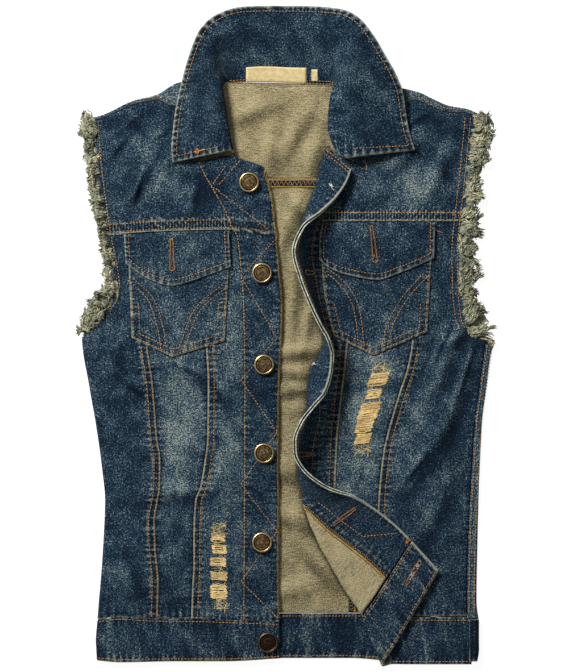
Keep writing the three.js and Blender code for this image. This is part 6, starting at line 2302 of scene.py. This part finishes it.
class GARMENT_OT_fringe(bpy.types.Operator):
    """Loose yarns round both raw armholes"""
    bl_idname = "garment.fringe"
    bl_label = "Armhole fringe"

    def execute(self, context):
        seed = 1
        for side in ("right", "left"):
            for layer in ("front", "back"):
                build_fringe(side, layer, f"{side}_armhole_fray_{layer}", seed)
                seed += 1
        return {"FINISHED"}


class GARMENT_OT_sewing(bpy.types.Operator):
    """Rows of stitches, overlocked edges, buttonholes and loose threads"""
    bl_idname = "garment.sewing"
    bl_label = "Sewing"

    def execute(self, context):
        sew_everything()
        overlock_everything()
        buttonholes()
        loose_white_threads()
        loose_orange_threads()
        return {"FINISHED"}


class GARMENT_OT_worn_patches(bpy.types.Operator):
    """Bare weft yarns of the two worn patches"""
    bl_idname = "garment.worn_patches"
    bl_label = "Worn patches"

    def execute(self, context):
        build_rip("right", 21)
        build_rip("left", 22)
        return {"FINISHED"}


class GARMENT_OT_stage(bpy.types.Operator):
    """White floor, soft light and a camera straight above the garment"""
    bl_idname = "garment.stage"
    bl_label = "Stage"

    def execute(self, context):
        build_stage()
        return {"FINISHED"}


IMAGE_HEIGHT_MM = 672.0
VIEW_CENTRE = (-3.5, 331.0)
CAMERA_HEIGHT = 5.0
SENSOR_WIDTH = 36.0
FLOOR_LEVEL = -0.0004    # just under the cloth
SKY_STRENGTH = 0.22
SOFTBOX_PLACE = (-1.55, 1.95, 1.9)
SOFTBOX_SIZE = 0.8
SOFTBOX_POWER = 130


def build_stage():
    """Floor, sky, softbox and camera."""
    scene = bpy.context.scene
    bpy.ops.mesh.primitive_plane_add(size=6)
    floor = bpy.context.object
    floor.name = "floor"
    floor.location.z = FLOOR_LEVEL
    nodes = Nodes("White floor")
    nodes.finish(linear(150, 150, 150), Roughness=0.9, Specular_IOR_Level=0.1, Emission_Strength=0.9,
                 Emission_Color=(1, 1, 1, 1))
    floor.data.materials.append(nodes.material)
    world = bpy.data.worlds.get("World") or bpy.data.worlds.new("World")
    scene.world = world
    world.use_nodes = True
    background = world.node_tree.nodes["Background"]
    background.inputs["Color"].default_value = (1, 1, 1, 1)
    background.inputs["Strength"].default_value = SKY_STRENGTH
    light = bpy.data.objects.new("softbox", bpy.data.lights.new("softbox", "AREA"))
    light.data.shape = "SQUARE"
    light.data.size = SOFTBOX_SIZE
    light.data.energy = SOFTBOX_POWER
    light.location = SOFTBOX_PLACE
    light.rotation_euler = (-light.location).to_track_quat("-Z", "Y").to_euler()
    scene.collection.objects.link(light)
    camera = bpy.data.objects.new("camera", bpy.data.cameras.new("camera"))
    camera.data.sensor_width = SENSOR_WIDTH
    camera.data.lens = SENSOR_WIDTH * CAMERA_HEIGHT / (IMAGE_HEIGHT_MM * MM)
    camera.data.clip_end = 50
    centre = metres((*VIEW_CENTRE, 0))
    camera.location = (centre[0], centre[1], CAMERA_HEIGHT)
    scene.collection.objects.link(camera)
    scene.camera = camera
    scene.view_settings.view_transform = "Standard"
    scene.view_settings.look = "None"


class GarmentSettings(bpy.types.PropertyGroup):
    """Sizes and colours that a user may change"""
    stitch_pitch: bpy.props.FloatProperty(
        name="Stitch pitch", description="Distance from one stitch to the next", default=0.0033,
        unit="LENGTH")
    stitch_length: bpy.props.FloatProperty(
        name="Stitch length", description="Length of thread that shows", default=0.0029, unit="LENGTH")
    thread_thickness: bpy.props.FloatProperty(
        name="Thread thickness", description="Thickness of the sewing thread", default=0.00086, unit="LENGTH")
    twill_pitch: bpy.props.FloatProperty(
        name="Twill pitch", description="Distance between the twill's diagonal ribs", default=0.0017756,
        unit="LENGTH")
    speckle: bpy.props.FloatProperty(
        name="Speckle", description="How unevenly the indigo is washed out", default=0.42, min=0, max=1)
    deep_indigo: bpy.props.FloatVectorProperty(
        name="Deep indigo", description="Denim where it is hardly worn", subtype="COLOR",
        default=linear(8, 21, 33)[:3])
    dark_indigo: bpy.props.FloatVectorProperty(
        name="Dark indigo", description="Denim of the plackets and waistband", subtype="COLOR",
        default=linear(22, 43, 61)[:3])
    mid_indigo: bpy.props.FloatVectorProperty(
        name="Mid indigo", description="Denim of the panels", subtype="COLOR", default=linear(48, 70, 86)[:3])
    pale_indigo: bpy.props.FloatVectorProperty(
        name="Pale indigo", description="Denim where it has faded", subtype="COLOR",
        default=linear(94, 111, 114)[:3])
    bleached: bpy.props.FloatVectorProperty(
        name="Bleached", description="Palest flecks of the denim", subtype="COLOR",
        default=linear(150, 158, 146)[:3])
    rubbed: bpy.props.FloatVectorProperty(
        name="Rubbed", description="Denim rubbed down to its weft along edges", subtype="COLOR",
        default=linear(156, 160, 142)[:3])
    khaki: bpy.props.FloatVectorProperty(
        name="Khaki", description="Wrong side of the denim", subtype="COLOR",
        default=linear(150, 138, 102)[:3])
    khaki_light: bpy.props.FloatVectorProperty(
        name="Khaki light", description="Palest yarns of the wrong side", subtype="COLOR",
        default=linear(190, 176, 138)[:3])
    khaki_shade: bpy.props.FloatVectorProperty(
        name="Khaki shade", description="Darker yarns of the wrong side", subtype="COLOR",
        default=linear(112, 102, 74)[:3])


PIECE_OPERATORS = [
    GARMENT_OT_back,
    GARMENT_OT_right_front,
    GARMENT_OT_left_front,
    GARMENT_OT_turned_placket,
    GARMENT_OT_waistbands,
    GARMENT_OT_pockets,
    GARMENT_OT_collar,
    GARMENT_OT_buttons,
    GARMENT_OT_fringe,
    GARMENT_OT_sewing,
    GARMENT_OT_worn_patches,
    GARMENT_OT_stage,
]


class GARMENT_PT_panel(bpy.types.Panel):
    bl_idname = "GARMENT_PT_panel"
    bl_label = "Denim jacket"
    bl_space_type = "VIEW_3D"
    bl_region_type = "UI"
    bl_category = "Denim jacket"

    def draw(self, context):
        for name in GarmentSettings.__annotations__:
            self.layout.prop(context.scene.denim_jacket, name)
        for operator in PIECE_OPERATORS:
            self.layout.operator(operator.bl_idname)


CLASSES = [GarmentSettings, *PIECE_OPERATORS, GARMENT_PT_panel]


def register():
    """Makes the classes and the scene's settings known to Blender."""
    for item in CLASSES:
        bpy.utils.register_class(item)
    bpy.types.Scene.denim_jacket = bpy.props.PointerProperty(type=GarmentSettings)


def unregister():
    """Takes them back."""
    del bpy.types.Scene.denim_jacket
    for item in reversed(CLASSES):
        bpy.utils.unregister_class(item)


def main():
    """Builds every piece."""
    register()
    for operator in PIECE_OPERATORS:
        group, name = operator.bl_idname.split(".")
        getattr(getattr(bpy.ops, group), name)()


if __name__ == "__main__":
    main()
